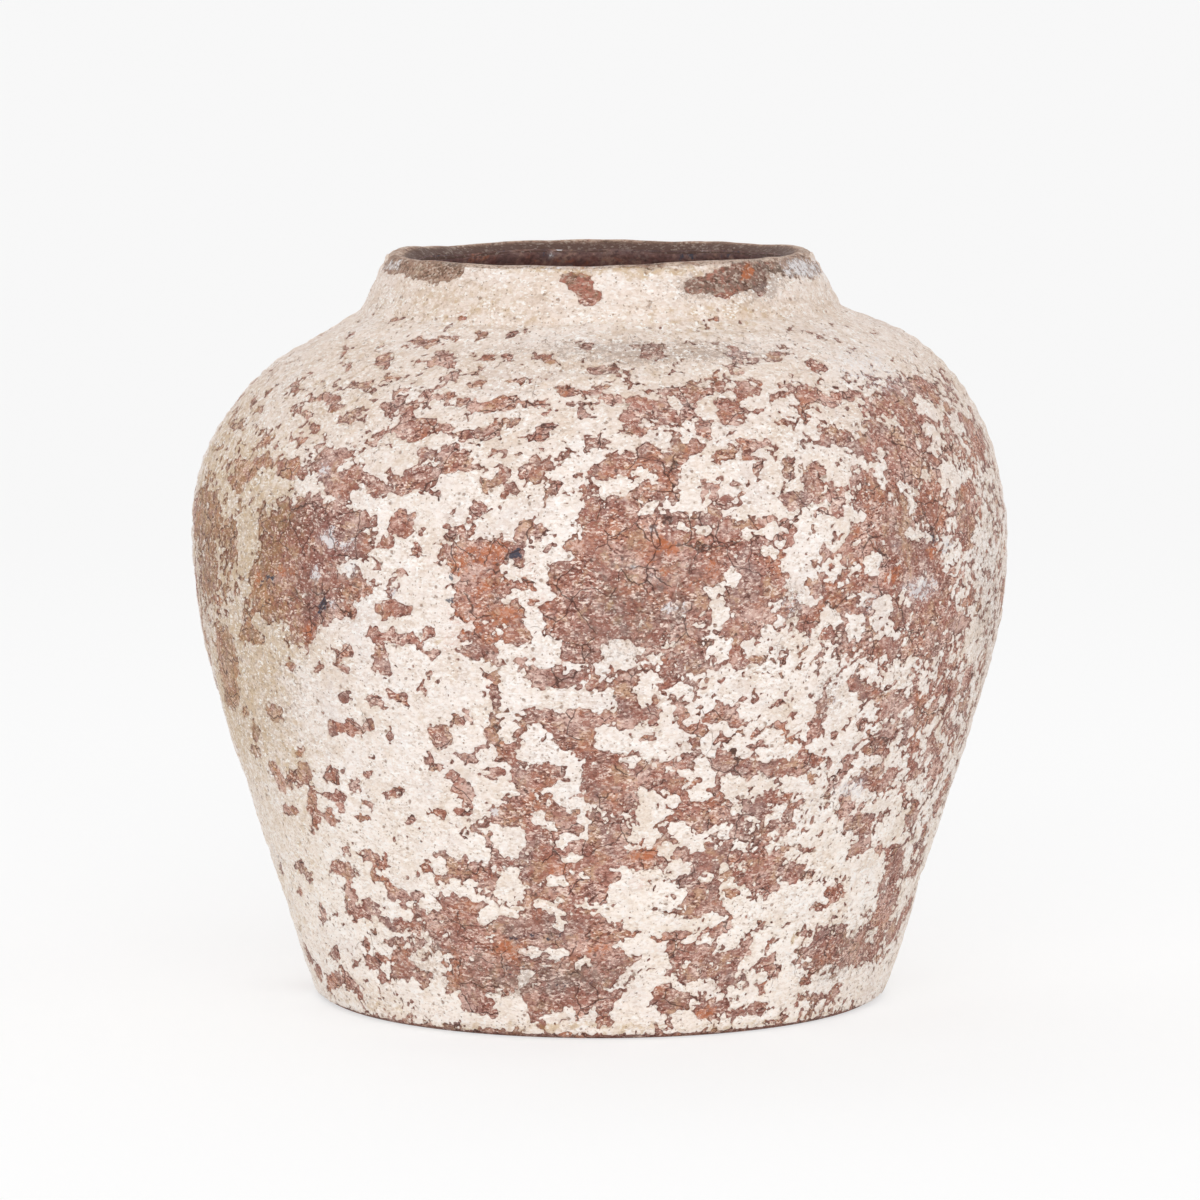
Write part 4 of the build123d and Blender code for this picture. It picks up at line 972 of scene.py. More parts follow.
# The faces of a cell for each way its corners can hold: a b c d are its corners from the lower
# left round, and ab bc cd da the breaks on its sides. The last two of each are the broken side.
CELL_FACES = {
    1: (("a", "ab", "da"),), 2: (("b", "bc", "ab"),), 3: (("a", "b", "bc", "da"),),
    4: (("c", "cd", "bc"),), 5: (("a", "ab", "da"), ("c", "cd", "bc")),
    6: (("b", "c", "cd", "ab"),), 7: (("a", "b", "c", "cd", "da"),), 8: (("d", "da", "cd"),),
    9: (("d", "a", "ab", "cd"),), 10: (("b", "bc", "ab"), ("d", "da", "cd")),
    11: (("d", "a", "b", "bc", "cd"),), 12: (("c", "d", "da", "bc"),),
    13: (("c", "d", "a", "ab", "bc"),), 14: (("b", "c", "d", "da", "ab"),),
    15: (("a", "b", "c", "d"),),
}


def coat_field():
    """How firmly the coat holds at each crossing of the grid that it is cut from."""
    turns = np.arange(COAT_TURNS) * (2 * math.pi / COAT_TURNS)
    run, turn = grid_of(COAT_RUNS, turns)
    points, faces = wall_places(turn, run)
    z = points[:, 2]
    hold = coat_hold(points, faces) - 9 * ease(0.0024, 0.0012, z) - 9 * ease(0.3632, 0.3640, z)
    hold = hold.reshape(len(COAT_RUNS), COAT_TURNS)
    around = np.roll(hold, 1, 1) + np.roll(hold, -1, 1)
    padded = np.pad(hold, ((1, 1), (0, 0)), "edge")
    return 0.72 * hold + 0.07 * (around + padded[:-2] + padded[2:])


def coat_piece(name, hold, start, end):
    """One band of the coat, from one row of the grid to another."""
    hold = hold[start:end + 1]
    count = len(hold)
    grid = np.arange(count * COAT_TURNS).reshape(count, COAT_TURNS)
    after = np.roll(hold, -1, 1)
    # Where a broken edge crosses the sides of the cells, as a share of each side.
    side_cut = (hold > 0) != (after > 0)
    rise_cut = (hold[:-1] > 0) != (hold[1:] > 0)
    most = 1 - LEAST_SHARE
    side_share = np.clip(hold / np.where(side_cut, hold - after, 1), LEAST_SHARE, most)
    rise = hold[:-1] - hold[1:]
    rise_share = np.clip(hold[:-1] / np.where(rise_cut, rise, 1), LEAST_SHARE, most)
    held = np.nonzero((hold > 0).ravel())[0]
    side_at, rise_at = np.nonzero(side_cut.ravel())[0], np.nonzero(rise_cut.ravel())[0]
    # The points are numbered in this order: crossings that hold, level breaks, upright breaks.
    total = len(held) + len(side_at) + len(rise_at)
    node_id = np.full(hold.size, -1)
    node_id[held] = np.arange(len(held))
    side_id = np.full(hold.size, -1)
    side_id[side_at] = len(held) + np.arange(len(side_at))
    rise_id = np.full(rise_cut.size, -1)
    rise_id[rise_at] = len(held) + len(side_at) + np.arange(len(rise_at))
    row = np.concatenate([held // COAT_TURNS, side_at // COAT_TURNS,
                          rise_at // COAT_TURNS + rise_share.ravel()[rise_at]])
    column = np.concatenate([held % COAT_TURNS, side_at % COAT_TURNS + side_share.ravel()[side_at],
                             rise_at % COAT_TURNS]).astype(float)
    firm = np.concatenate([hold.ravel()[held], np.zeros(len(side_at) + len(rise_at))])

    # The faces of each kind of cell, then the skirts that lead from the broken edges down into
    # the clay. The points of the skirts' feet are numbered on from the total.
    i, j = grid_of(np.arange(count - 1), np.arange(COAT_TURNS))
    right = (j + 1) % COAT_TURNS
    ids = {"a": node_id[grid[i, j]], "b": node_id[grid[i, right]], "c": node_id[grid[i + 1, right]],
           "d": node_id[grid[i + 1, j]], "ab": side_id[grid[i, j]], "cd": side_id[grid[i + 1, j]],
           "bc": rise_id[grid[i, right]], "da": rise_id[grid[i, j]]}
    case = sum(bit * (hold[at] > 0) for bit, at in (
        (1, (i, j)), (2, (i, right)), (4, (i + 1, right)), (8, (i + 1, j))))
    corners, cells, counts, broken = [], [], [], []
    for kind, faces in CELL_FACES.items():
        here = np.nonzero(case == kind)[0]
        for face in faces:
            block = np.stack([ids[corner][here] for corner in face], 1)
            corners.append(block.ravel())
            cells.append(np.repeat(j[here], len(face)))
            counts.append(np.full(len(here), len(face)))
            if kind != 15:
                broken.append(np.stack([block[:, -2], block[:, -1], j[here]], 1))
    broken = np.concatenate(broken)
    skirt = np.stack([broken[:, 0], broken[:, 0] + total, broken[:, 1] + total, broken[:, 1]], 1)
    corners = np.concatenate(corners + [skirt.ravel()])
    cells = np.concatenate(cells + [np.repeat(broken[:, 2], 4)])
    counts = np.concatenate(counts + [np.full(len(skirt), 4)])

    # Where the points lie. Only those that a face uses are kept.
    run = np.interp(row + start, np.arange(len(COAT_RUNS)), COAT_RUNS)
    turn = column * (2 * math.pi / COAT_TURNS)
    points, faces = wall_places(turn, run)
    base = relief(points, run)
    uneven = COAT_UNEVEN * grain(points, 0.007, 33.3, 2)
    thick = COAT * (EDGE_THICK + BODY_THICK * ease(0, 1.4, firm)) + uneven * ease(0, 0.8, firm)
    top = settle(points + faces * (base + thick)[:, None])
    foot = settle(points + faces * (base - COAT_SUNK)[:, None])
    values = stains(STAIN_ROWS, points, faces)
    values["lime"] = firm
    marks = coat_marks(row, column, broken, corners, cells, total, count)
    used = np.unique(corners)
    fresh = np.full(2 * total, -1)
    fresh[used] = np.arange(len(used))

    def sharp(first, second):
        """Whether an edge is the upper rim of a break."""
        ends = used[first], used[second]
        return np.logical_and(*((end >= len(held)) & (end < total) for end in ends))

    both = {kind: np.concatenate([value, value])[used] for kind, value in values.items()}
    points = np.concatenate([top, foot])[used]
    return make_piece(name, points, fresh[corners], counts, marks, both, sharp)


def coat_marks(row, column, broken, corners, cells, total, count):
    """Where the coat's corners lie in its flat pattern; a broken side lies just past its edge."""
    out_row, out_column = np.zeros(total), np.zeros(total)
    half = COAT_TURNS / 2
    across = (column[broken[:, 1]] - column[broken[:, 0]] + half) % COAT_TURNS - half
    up = row[broken[:, 1]] - row[broken[:, 0]]
    size = np.maximum(np.hypot(across, up), 1e-6)
    for end in (0, 1):
        np.add.at(out_column, broken[:, end], EDGE_REACH * up / size)
        np.add.at(out_row, broken[:, end], -EDGE_REACH * across / size)
    all_rows = np.concatenate([row, row + out_row])[corners]
    all_columns = np.concatenate([column, column + out_column])[corners]
    all_columns += COAT_TURNS * np.round((cells + 0.5 - all_columns) / COAT_TURNS)
    height = (count - 1) * COAT_PITCH
    strips = max(1, round(math.sqrt(COAT_TURNS * COAT_PITCH * 0.85 / height)))
    return strip_places(all_columns, cells, COAT_TURNS, all_rows / (count - 1), strips)


# ---- Finishes. Small helpers first: each puts one node in a tree and gives its output.
def feed(tree, socket, value):
    """Links a value to a socket, or sets it there."""
    if isinstance(value, bpy.types.NodeSocket):
        tree.links.new(value, socket)
    elif socket.type == "RGBA" and len(value) == 3:
        socket.default_value = (*value, 1)
    else:
        socket.default_value = value


def reckon(tree, how, *values):
    """One step of arithmetic, such as ADD, MULTIPLY or LESS_THAN."""
    made = tree.nodes.new("ShaderNodeMath")
    made.operation = how
    for socket, value in zip(made.inputs, values):
        feed(tree, socket, value)
    return made.outputs[0]


def total_of(tree, *parts):
    """The sum of values, each times its weight."""
    whole = None
    for value, weight in parts:
        part = reckon(tree, "MULTIPLY", value, weight)
        whole = part if whole is None else reckon(tree, "ADD", whole, part)
    return whole


def blend(tree, share, first, second, how="MIX"):
    """The first colour turned to the second by its share."""
    made = tree.nodes.new("ShaderNodeMix")
    made.data_type = "RGBA"
    made.blend_type = how
    for index, value in ((0, share), (6, first), (7, second)):
        feed(tree, made.inputs[index], value)
    return made.outputs[2]


def fade(tree, value, low, high, to_low=0.0, to_high=1.0):
    """A smooth step of a value from low to high."""
    made = tree.nodes.new("ShaderNodeMapRange")
    made.interpolation_type = "SMOOTHSTEP"
    for index, number in enumerate((value, low, high, to_low, to_high)):
        feed(tree, made.inputs[index], number)
    return made.outputs[0]


def stained(tree, kind):
    """A value that the mesh keeps, by its name."""
    made = tree.nodes.new("ShaderNodeAttribute")
    made.attribute_name = kind
    return made.outputs["Fac"]


def jar_places(tree, stretch=(1, 1, 1), shift=(0, 0, 0)):
    """Places on the jar in metres, drawn out or moved."""
    spot = tree.nodes.new("ShaderNodeTexCoord").outputs["Object"]
    made = tree.nodes.new("ShaderNodeMapping")
    feed(tree, made.inputs["Vector"], spot)
    made.inputs["Scale"].default_value = stretch
    made.inputs["Location"].default_value = shift
    return made.outputs[0]


def cloud_node(tree, places, scale, detail=3.0, rough=0.55, warp=0.0):
    """A noise node, with scale counted per metre."""
    made = tree.nodes.new("ShaderNodeTexNoise")
    for name, value in (("Vector", places), ("Scale", scale), ("Detail", detail),
                        ("Roughness", rough), ("Distortion", warp)):
        feed(tree, made.inputs[name], value)
    return made


def cloud(tree, places, scale, detail=3.0, rough=0.55, warp=0.0):
    """Soft noise between 0 and 1."""
    return cloud_node(tree, places, scale, detail, rough, warp).outputs["Fac"]


def cells(tree, places, scale, feature="F1"):
    """A node of random cells, with scale counted per metre."""
    made = tree.nodes.new("ShaderNodeTexVoronoi")
    made.feature = feature
    for name, value in (("Vector", places), ("Scale", scale)):
        feed(tree, made.inputs[name], value)
    return made


def bent_places(tree, places, scale, reach):
    """Places pushed about by noise, by up to a reach in metres."""
    push = cloud_node(tree, places, scale, 3, 0.6).outputs["Color"]
    centred = tree.nodes.new("ShaderNodeVectorMath")
    centred.operation = "SUBTRACT"
    feed(tree, centred.inputs[0], push)
    centred.inputs[1].default_value = (0.5, 0.5, 0.5)
    made = tree.nodes.new("ShaderNodeVectorMath")
    made.operation = "MULTIPLY_ADD"
    feed(tree, made.inputs[0], centred.outputs[0])
    made.inputs[1].default_value = (reach, reach, reach)
    feed(tree, made.inputs[2], places)
    return made.outputs[0]


def group_of(name, inputs, outputs):
    """An empty node group with its named sockets, and its two ends."""
    tree = bpy.data.node_groups.new(name, "ShaderNodeTree")
    for kind, label, value in inputs:
        socket = tree.interface.new_socket(
            label, in_out="INPUT", socket_type="NodeSocket" + kind)
        socket.default_value = (*value, 1) if kind == "Color" else value
    for kind, label in outputs:
        tree.interface.new_socket(label, in_out="OUTPUT", socket_type="NodeSocket" + kind)
    given, result = tree.nodes.new("NodeGroupInput"), tree.nodes.new("NodeGroupOutput")
    return tree, given.outputs, result.inputs


def use(tree, group, **values):
    """Places a group in a material with its own values and gives its outputs."""
    made = tree.nodes.new("ShaderNodeGroup")
    made.node_tree = group
    for name, value in values.items():
        feed(tree, made.inputs[name.replace("_", " ")], value)
    return made.outputs


# ---- Effects that the finishes share.
def make_mottle():
    """Three tones of one surface, mixed in broad patches and in smaller flecks."""
    tree, given, result = group_of("mottle", (
        ("Color", "Deep tone", (0.2, 0.1, 0.1)), ("Color", "Middle tone", (0.4, 0.3, 0.2)),
        ("Color", "Pale tone", (0.6, 0.5, 0.4)), ("Float", "Patches per metre", 60.0),
        ("Float", "Flecks per metre", 500.0), ("Float", "Deep share", 0.5),
        ("Float", "Pale share", 0.5),
    ), (("Color", "Tone"), ("Float", "Mix")))
    places = jar_places(tree)
    patch = cloud(tree, places, given["Patches per metre"], 5, 0.62, 0.3)
    fleck = cloud(tree, places, given["Flecks per metre"], 3, 0.65)
    both = total_of(tree, (patch, 0.5), (fleck, 0.5))
    deep = reckon(tree, "MULTIPLY", fade(tree, both, 0.5, 0.38), given["Deep share"])
    pale = reckon(tree, "MULTIPLY", fade(tree, both, 0.5, 0.62), given["Pale share"])
    tone = blend(tree, deep, given["Middle tone"], given["Deep tone"])
    tree.links.new(blend(tree, pale, tone, given["Pale tone"]), result["Tone"])
    tree.links.new(both, result["Mix"])
    return tree


def make_grit():
    """Sharp mixed grains that darken and lighten a tone, thicker in some places."""
    tree, given, result = group_of("grit", (
        ("Color", "Tone", (0.5, 0.4, 0.3)), ("Color", "Dark grit", (0.1, 0.05, 0.04)),
        ("Color", "Light grit", (0.7, 0.6, 0.5)), ("Float", "Grains per metre", 1200.0),
        ("Float", "Dark share", 0.5), ("Float", "Light share", 0.4),
    ), (("Color", "Tone"), ("Float", "Grain")))
    places = bent_places(tree, jar_places(tree, (0.62, 0.62, 1)), 900.0, 0.0006)
    fine = given["Grains per metre"]
    single = []
    for scale in (fine, reckon(tree, "MULTIPLY", fine, 0.5)):
        parted = tree.nodes.new("ShaderNodeSeparateColor")
        tree.links.new(cells(tree, places, scale).outputs["Color"], parted.inputs[0])
        single.append(parted.outputs[0])
    level = total_of(tree, (single[0], 0.66), (single[1], 0.34))
    zone = cloud(tree, jar_places(tree, (1, 1, 1), (0.2, 0.5, 0.8)), 85.0, 4, 0.7)
    here = fade(tree, zone, 0.36, 0.62, 0.45, 1)
    dark = reckon(tree, "MULTIPLY", fade(tree, level, 0.43, 0.16), given["Dark share"])
    light = reckon(tree, "MULTIPLY", fade(tree, level, 0.6, 0.88), given["Light share"])
    dark, light = reckon(tree, "MULTIPLY", dark, here), reckon(tree, "MULTIPLY", light, here)
    tone = blend(tree, dark, given["Tone"], given["Dark grit"])
    tree.links.new(blend(tree, light, tone, given["Light grit"]), result["Tone"])
    tree.links.new(level, result["Grain"])
    return tree


def make_tinge():
    """One colour laid over another in ragged patches; the amount is how much it covers."""
    tree, given, result = group_of("tinge", (
        ("Color", "Tone", (0.5, 0.4, 0.3)), ("Color", "Tinge", (0.4, 0.3, 0.2)),
        ("Float", "Amount", 0.5), ("Float", "Strength", 0.5),
        ("Float", "Patches per metre", 30.0), ("Float", "Place", 0.0),
    ), (("Color", "Tone"),))
    moved = tree.nodes.new("ShaderNodeCombineXYZ")
    for socket in moved.inputs:
        feed(tree, socket, given["Place"])
    spot = tree.nodes.new("ShaderNodeVectorMath")
    feed(tree, spot.inputs[0], jar_places(tree))
    feed(tree, spot.inputs[1], moved.outputs[0])
    patch = cloud(tree, spot.outputs[0], given["Patches per metre"], 7, 0.72, 0.3)
    line = reckon(tree, "SUBTRACT", 0.68, reckon(tree, "MULTIPLY", given["Amount"], 0.3))
    here = fade(tree, reckon(tree, "SUBTRACT", patch, line), -0.06, 0.06)
    share = reckon(tree, "MULTIPLY", here, given["Strength"])
    tree.links.new(blend(tree, share, given["Tone"], given["Tinge"]), result["Tone"])
    return tree


def make_streaks():
    """Fine level lines left by the turning hand, broken up round the jar."""
    tree, given, result = group_of("turning_lines", (
        ("Float", "Lines per metre", 600.0),), (("Float", "Line"),))
    places = bent_places(tree, jar_places(tree), 40.0, 0.004)
    drawn = tree.nodes.new("ShaderNodeMapping")
    feed(tree, drawn.inputs["Vector"], places)
    drawn.inputs["Scale"].default_value = (0.12, 0.12, 1)
    tree.links.new(cloud(tree, drawn.outputs[0], given["Lines per metre"], 3, 0.6), result["Line"])
    return tree


def make_specks():
    """Small ragged specks scattered over a surface; the amount is how many show."""
    tree, given, result = group_of("specks", (
        ("Float", "Specks per metre", 400.0), ("Float", "Amount", 0.3),
    ), (("Float", "Speck"),))
    places = jar_places(tree, (1, 1, 1), (0.3, 0.7, 0.1))
    rough = cloud(tree, places, given["Specks per metre"], 4, 0.7, 0.4)
    line = reckon(tree, "SUBTRACT", 0.78, reckon(tree, "MULTIPLY", given["Amount"], 0.36))
    tree.links.new(fade(tree, reckon(tree, "SUBTRACT", rough, line), 0.0, 0.035), result["Speck"])
    return tree


def make_pits():
    """Pores and short slits where chaff burnt out."""
    tree, given, result = group_of("pits", (
        ("Float", "Pits per metre", 260.0), ("Float", "Amount", 0.3),
    ), (("Float", "Pit"),))
    places = bent_places(tree, jar_places(tree), 260.0, 0.0025)
    hole = cells(tree, places, given["Pits per metre"])
    picked = reckon(tree, "LESS_THAN", reckon(tree, "FRACT", reckon(
        tree, "MULTIPLY", hole.outputs["Color"], 7.0)), given["Amount"])
    ragged = fade(tree, hole.outputs["Distance"], 0.27, 0.12)
    tree.links.new(reckon(tree, "MULTIPLY", ragged, picked), result["Pit"])
    return tree


def make_cracks():
    """Fine wandering cracks that come and go over the surface."""
    tree, given, result = group_of("fine_cracks", (
        ("Float", "Cracks per metre", 60.0), ("Float", "Amount", 0.4), ("Float", "Width", 0.03),
    ), (("Float", "Crack"),))
    places = bent_places(tree, jar_places(tree), 55.0, 0.014)
    net = cells(tree, places, given["Cracks per metre"], "DISTANCE_TO_EDGE")
    line = fade(tree, net.outputs["Distance"], given["Width"], 0.0)
    patch = cloud(tree, jar_places(tree, (1, 1, 1), (0.4, 0.1, 0.8)), 34.0, 3, 0.7)
    level = reckon(tree, "SUBTRACT", 0.72, reckon(tree, "MULTIPLY", given["Amount"], 0.3))
    here = fade(tree, reckon(tree, "SUBTRACT", patch, level), 0.0, 0.06)
    tree.links.new(reckon(tree, "MULTIPLY", line, here), result["Crack"])
    return tree


def make_stain():
    """A broad soft stain turned into ragged marks: strong places fill in, weak ones break up."""
    tree, given, result = group_of("ragged_stain", (
        ("Float", "Stain", 0.0), ("Float", "Marks per metre", 180.0), ("Float", "Softness", 0.2),
    ), (("Float", "Mark"),))
    places = jar_places(tree, (1, 1, 1), (0.9, 0.2, 0.5))
    rough = cloud(tree, places, given["Marks per metre"], 6, 0.75, 0.4)
    level = total_of(tree, (given["Stain"], 0.9), (reckon(tree, "SUBTRACT", rough, 0.5), 3.4))
    low = reckon(tree, "SUBTRACT", 0.55, given["Softness"])
    high = reckon(tree, "ADD", 0.55, given["Softness"])
    present = fade(tree, given["Stain"], 0.02, 0.35)
    shown = reckon(tree, "MULTIPLY", fade(tree, level, low, high), present)
    veil = reckon(tree, "MULTIPLY", given["Stain"], 0.25)
    tree.links.new(reckon(tree, "MAXIMUM", shown, veil), result["Mark"])
    return tree


MOTTLE, GRIT, TINGE, STREAKS = make_mottle(), make_grit(), make_tinge(), make_streaks()
SPECKS = make_specks()
PITS, CRACKS, STAIN = make_pits(), make_cracks(), make_stain()

STAIN_COLOURS = {
    "rose": (0.24, 0.07, 0.052), "ochre": (0.56, 0.37, 0.14), "rust": (0.5, 0.15, 0.055),
    "grime": (0.17, 0.13, 0.105), "iron": (0.05, 0.055, 0.08), "bloom_and_highlight": (0.80, 0.77, 0.78),
}
# How many marks of each kind lie along a metre.
STAIN_SIZES = {"rose": 190.0, "ochre": 220.0, "rust": 420.0,
               "grime": 260.0, "iron": 340.0, "bloom_and_highlight": 420.0}


def finish(name):
    """A new material, its tree and its surface shader."""
    made = bpy.data.materials.new(name)
    made.use_nodes = True
    return made, made.node_tree, made.node_tree.nodes["Principled BSDF"]


def lay_stains(tree, tone, strengths, softness=0.3, colours=STAIN_COLOURS):
    """Lays each kind of stain over a tone, one after another."""
    for kind, strength in strengths:
        mark = use(tree, STAIN, Stain=stained(tree, kind), Marks_per_metre=STAIN_SIZES[kind],
                   Softness=softness)["Mark"]
        tone = lay(tree, tone, mark, strength, colours[kind])
    return tone


def lay_tinges(tree, tone, tinges):
    """Lays ragged patches of each tinge: its colour, amount, strength, size and place."""
    for colour, amount, strength, size, place in tinges:
        tone = use(tree, TINGE, Tone=tone, Tinge=colour, Amount=amount, Strength=strength,
                   Patches_per_metre=size, Place=place)["Tone"]
    return tone


def lay(tree, tone, mark, strength, colour):
    """Lays a colour over a tone where a mark is, as strongly as the strength says."""
    return blend(tree, reckon(tree, "MULTIPLY", mark, strength), tone, colour)


def deeper(tree, first, second):
    """The stronger of two marks at each place, each times its own strength."""
    return reckon(tree, "MAXIMUM", *(reckon(tree, "MULTIPLY", *mark) for mark in (first, second)))


def surfaced(tree, shader, tone, mix, rough, shine, heights, depth):
    """Gives the shader its colour, roughness, shine and relief from heights in millimetres.

    The roughness follows the mottle's mix between two values.
    """
    tree.links.new(tone, shader.inputs["Base Color"])
    tree.links.new(fade(tree, mix, 0.3, 0.7, *rough), shader.inputs["Roughness"])
    shader.inputs["Specular IOR Level"].default_value = shine
    made = tree.nodes.new("ShaderNodeBump")
    made.inputs["Strength"].default_value = depth
    made.inputs["Distance"].default_value = 0.001
    tree.links.new(total_of(tree, *heights), made.inputs["Height"])
    tree.links.new(made.outputs["Normal"], shader.inputs["Normal"])


def fired_clay():
    """Reddish fired clay with turning lines, dark and pale grit, stains, a dust of lime and painted
    shade by the coat's edges.
    """
    made, tree, shader = finish("fired_clay")
    mottle = use(tree, MOTTLE, Deep_tone=(0.19, 0.055, 0.037), Middle_tone=(0.44, 0.19, 0.142),
                 Pale_tone=(0.62, 0.375, 0.31), Patches_per_metre=52.0, Flecks_per_metre=300.0,
                 Deep_share=0.85, Pale_share=0.7)
    line = use(tree, STREAKS, Lines_per_metre=560.0)["Line"]
    tone = blend(tree, fade(tree, line, 0.52, 0.38, 0, 0.35), mottle["Tone"], (0.24, 0.085, 0.055))
    tone = lay_tinges(tree, tone, (
        ((0.50, 0.19, 0.09), 0.5, 0.7, 46.0, 3.3), ((0.27, 0.17, 0.155), 0.55, 0.7, 36.0, 7.9),
        ((0.72, 0.49, 0.42), 0.5, 0.7, 64.0, 11.1), ((0.3, 0.1, 0.065), 0.5, 0.75, 80.0, 17.7),
        ((0.58, 0.37, 0.22), 0.36, 0.6, 95.0, 14.4)))
    tone = lay_stains(tree, tone, (("rose", 0.75), ("grime", 0.6)))
    grit = use(tree, GRIT, Tone=tone, Dark_grit=(0.12, 0.033, 0.022), Light_grit=(0.9, 0.74, 0.65),
               Grains_per_metre=1350.0, Dark_share=0.95, Light_share=0.9)
    near_coat = fade(tree, stained(tree, "lime"), -1.9, 0.1, 0.12, 0.5)
    film = use(tree, STAIN, Stain=near_coat, Marks_per_metre=620.0, Softness=0.06)["Mark"]
    tone = lay(tree, grit["Tone"], film, 0.6, (0.84, 0.69, 0.61))
    tone = lay_stains(tree, tone, (("ochre", 0.3), ("rust", 0.72)), 0.2)
    # Painted shade and dirt: the clay is darkened in a band where the coat's broken edge is near,
    # as at the step at each flake's foot.
    corner = fade(tree, stained(tree, "lime"), -0.6, -0.05, 0, 0.65)
    tone = blend(tree, corner, tone, (0.3, 0.12, 0.08), "MULTIPLY")
    speck = use(tree, SPECKS, Specks_per_metre=760.0, Amount=0.42)["Speck"]
    tone = lay(tree, tone, speck, 0.8, (0.88, 0.77, 0.7))
    tone = lay_stains(tree, tone, (("iron", 0.92), ("bloom_and_highlight", 0.8)), 0.1)
    pit = use(tree, PITS, Pits_per_metre=230.0, Amount=0.14)["Pit"]
    crack = use(tree, CRACKS, Cracks_per_metre=62.0, Amount=0.85, Width=0.026)["Crack"]
    dark = deeper(tree, (pit, 0.7), (crack, 0.85))
    tone = blend(tree, dark, tone, (0.06, 0.026, 0.02))
    surfaced(tree, shader, tone, mottle["Mix"], (0.68, 0.86), 0.3, (
        (line, 0.55), (grit["Grain"], 0.4), (mottle["Mix"], 0.7), (film, 0.2), (dark, -0.7)), 0.6)
    return made


def rim_clay():
    """The worn dusty clay of the lip, browner than the wall and dark inside the mouth."""
    made, tree, shader = finish("rim_clay")
    mottle = use(tree, MOTTLE, Deep_tone=(0.12, 0.07, 0.045), Middle_tone=(0.36, 0.215, 0.155),
                 Pale_tone=(0.54, 0.41, 0.31), Patches_per_metre=95.0, Flecks_per_metre=420.0,
                 Deep_share=0.8, Pale_share=0.7)
    line = use(tree, STREAKS, Lines_per_metre=700.0)["Line"]
    tone = blend(tree, fade(tree, line, 0.5, 0.36, 0, 0.4), mottle["Tone"], (0.13, 0.08, 0.055))
    tone = blend(tree, stained(tree, "mouth"), tone, (0.10, 0.055, 0.042))
    tone = lay_stains(tree, tone, (
        ("rose", 0.95), ("ochre", 0.4), ("grime", 0.72), ("rust", 0.8)),
        colours=dict(STAIN_COLOURS, rose=(0.4, 0.155, 0.112)))
    grit = use(tree, GRIT, Tone=tone, Dark_grit=(0.07, 0.035, 0.022), Light_grit=(0.62, 0.52, 0.44),
               Grains_per_metre=1250.0, Dark_share=0.8, Light_share=0.75)
    near_coat = fade(tree, stained(tree, "lime"), -1.4, 0.1, 0.0, 0.6)
    film = use(tree, STAIN, Stain=near_coat, Marks_per_metre=620.0, Softness=0.12)["Mark"]
    tone = lay(tree, grit["Tone"], film, 0.65, (0.74, 0.6, 0.5))
    speck = use(tree, SPECKS, Specks_per_metre=760.0, Amount=0.42)["Speck"]
    outside = reckon(tree, "SUBTRACT", 0.7, reckon(tree, "MULTIPLY", stained(tree, "mouth"), 0.68))
    tone = lay(tree, tone, speck, outside, (0.8, 0.72, 0.64))
    tone = lay(tree, tone, stained(tree, "mouth"), 0.6, (0.12, 0.068, 0.055))
    tone = lay_stains(tree, tone, (("iron", 0.9), ("bloom_and_highlight", 0.9)), 0.22)
    surfaced(tree, shader, tone, mottle["Mix"], (0.7, 0.9), 0.25, (
        (line, 0.4), (grit["Grain"], 0.5), (mottle["Mix"], 0.9), (speck, 0.3)), 0.6)
    return made


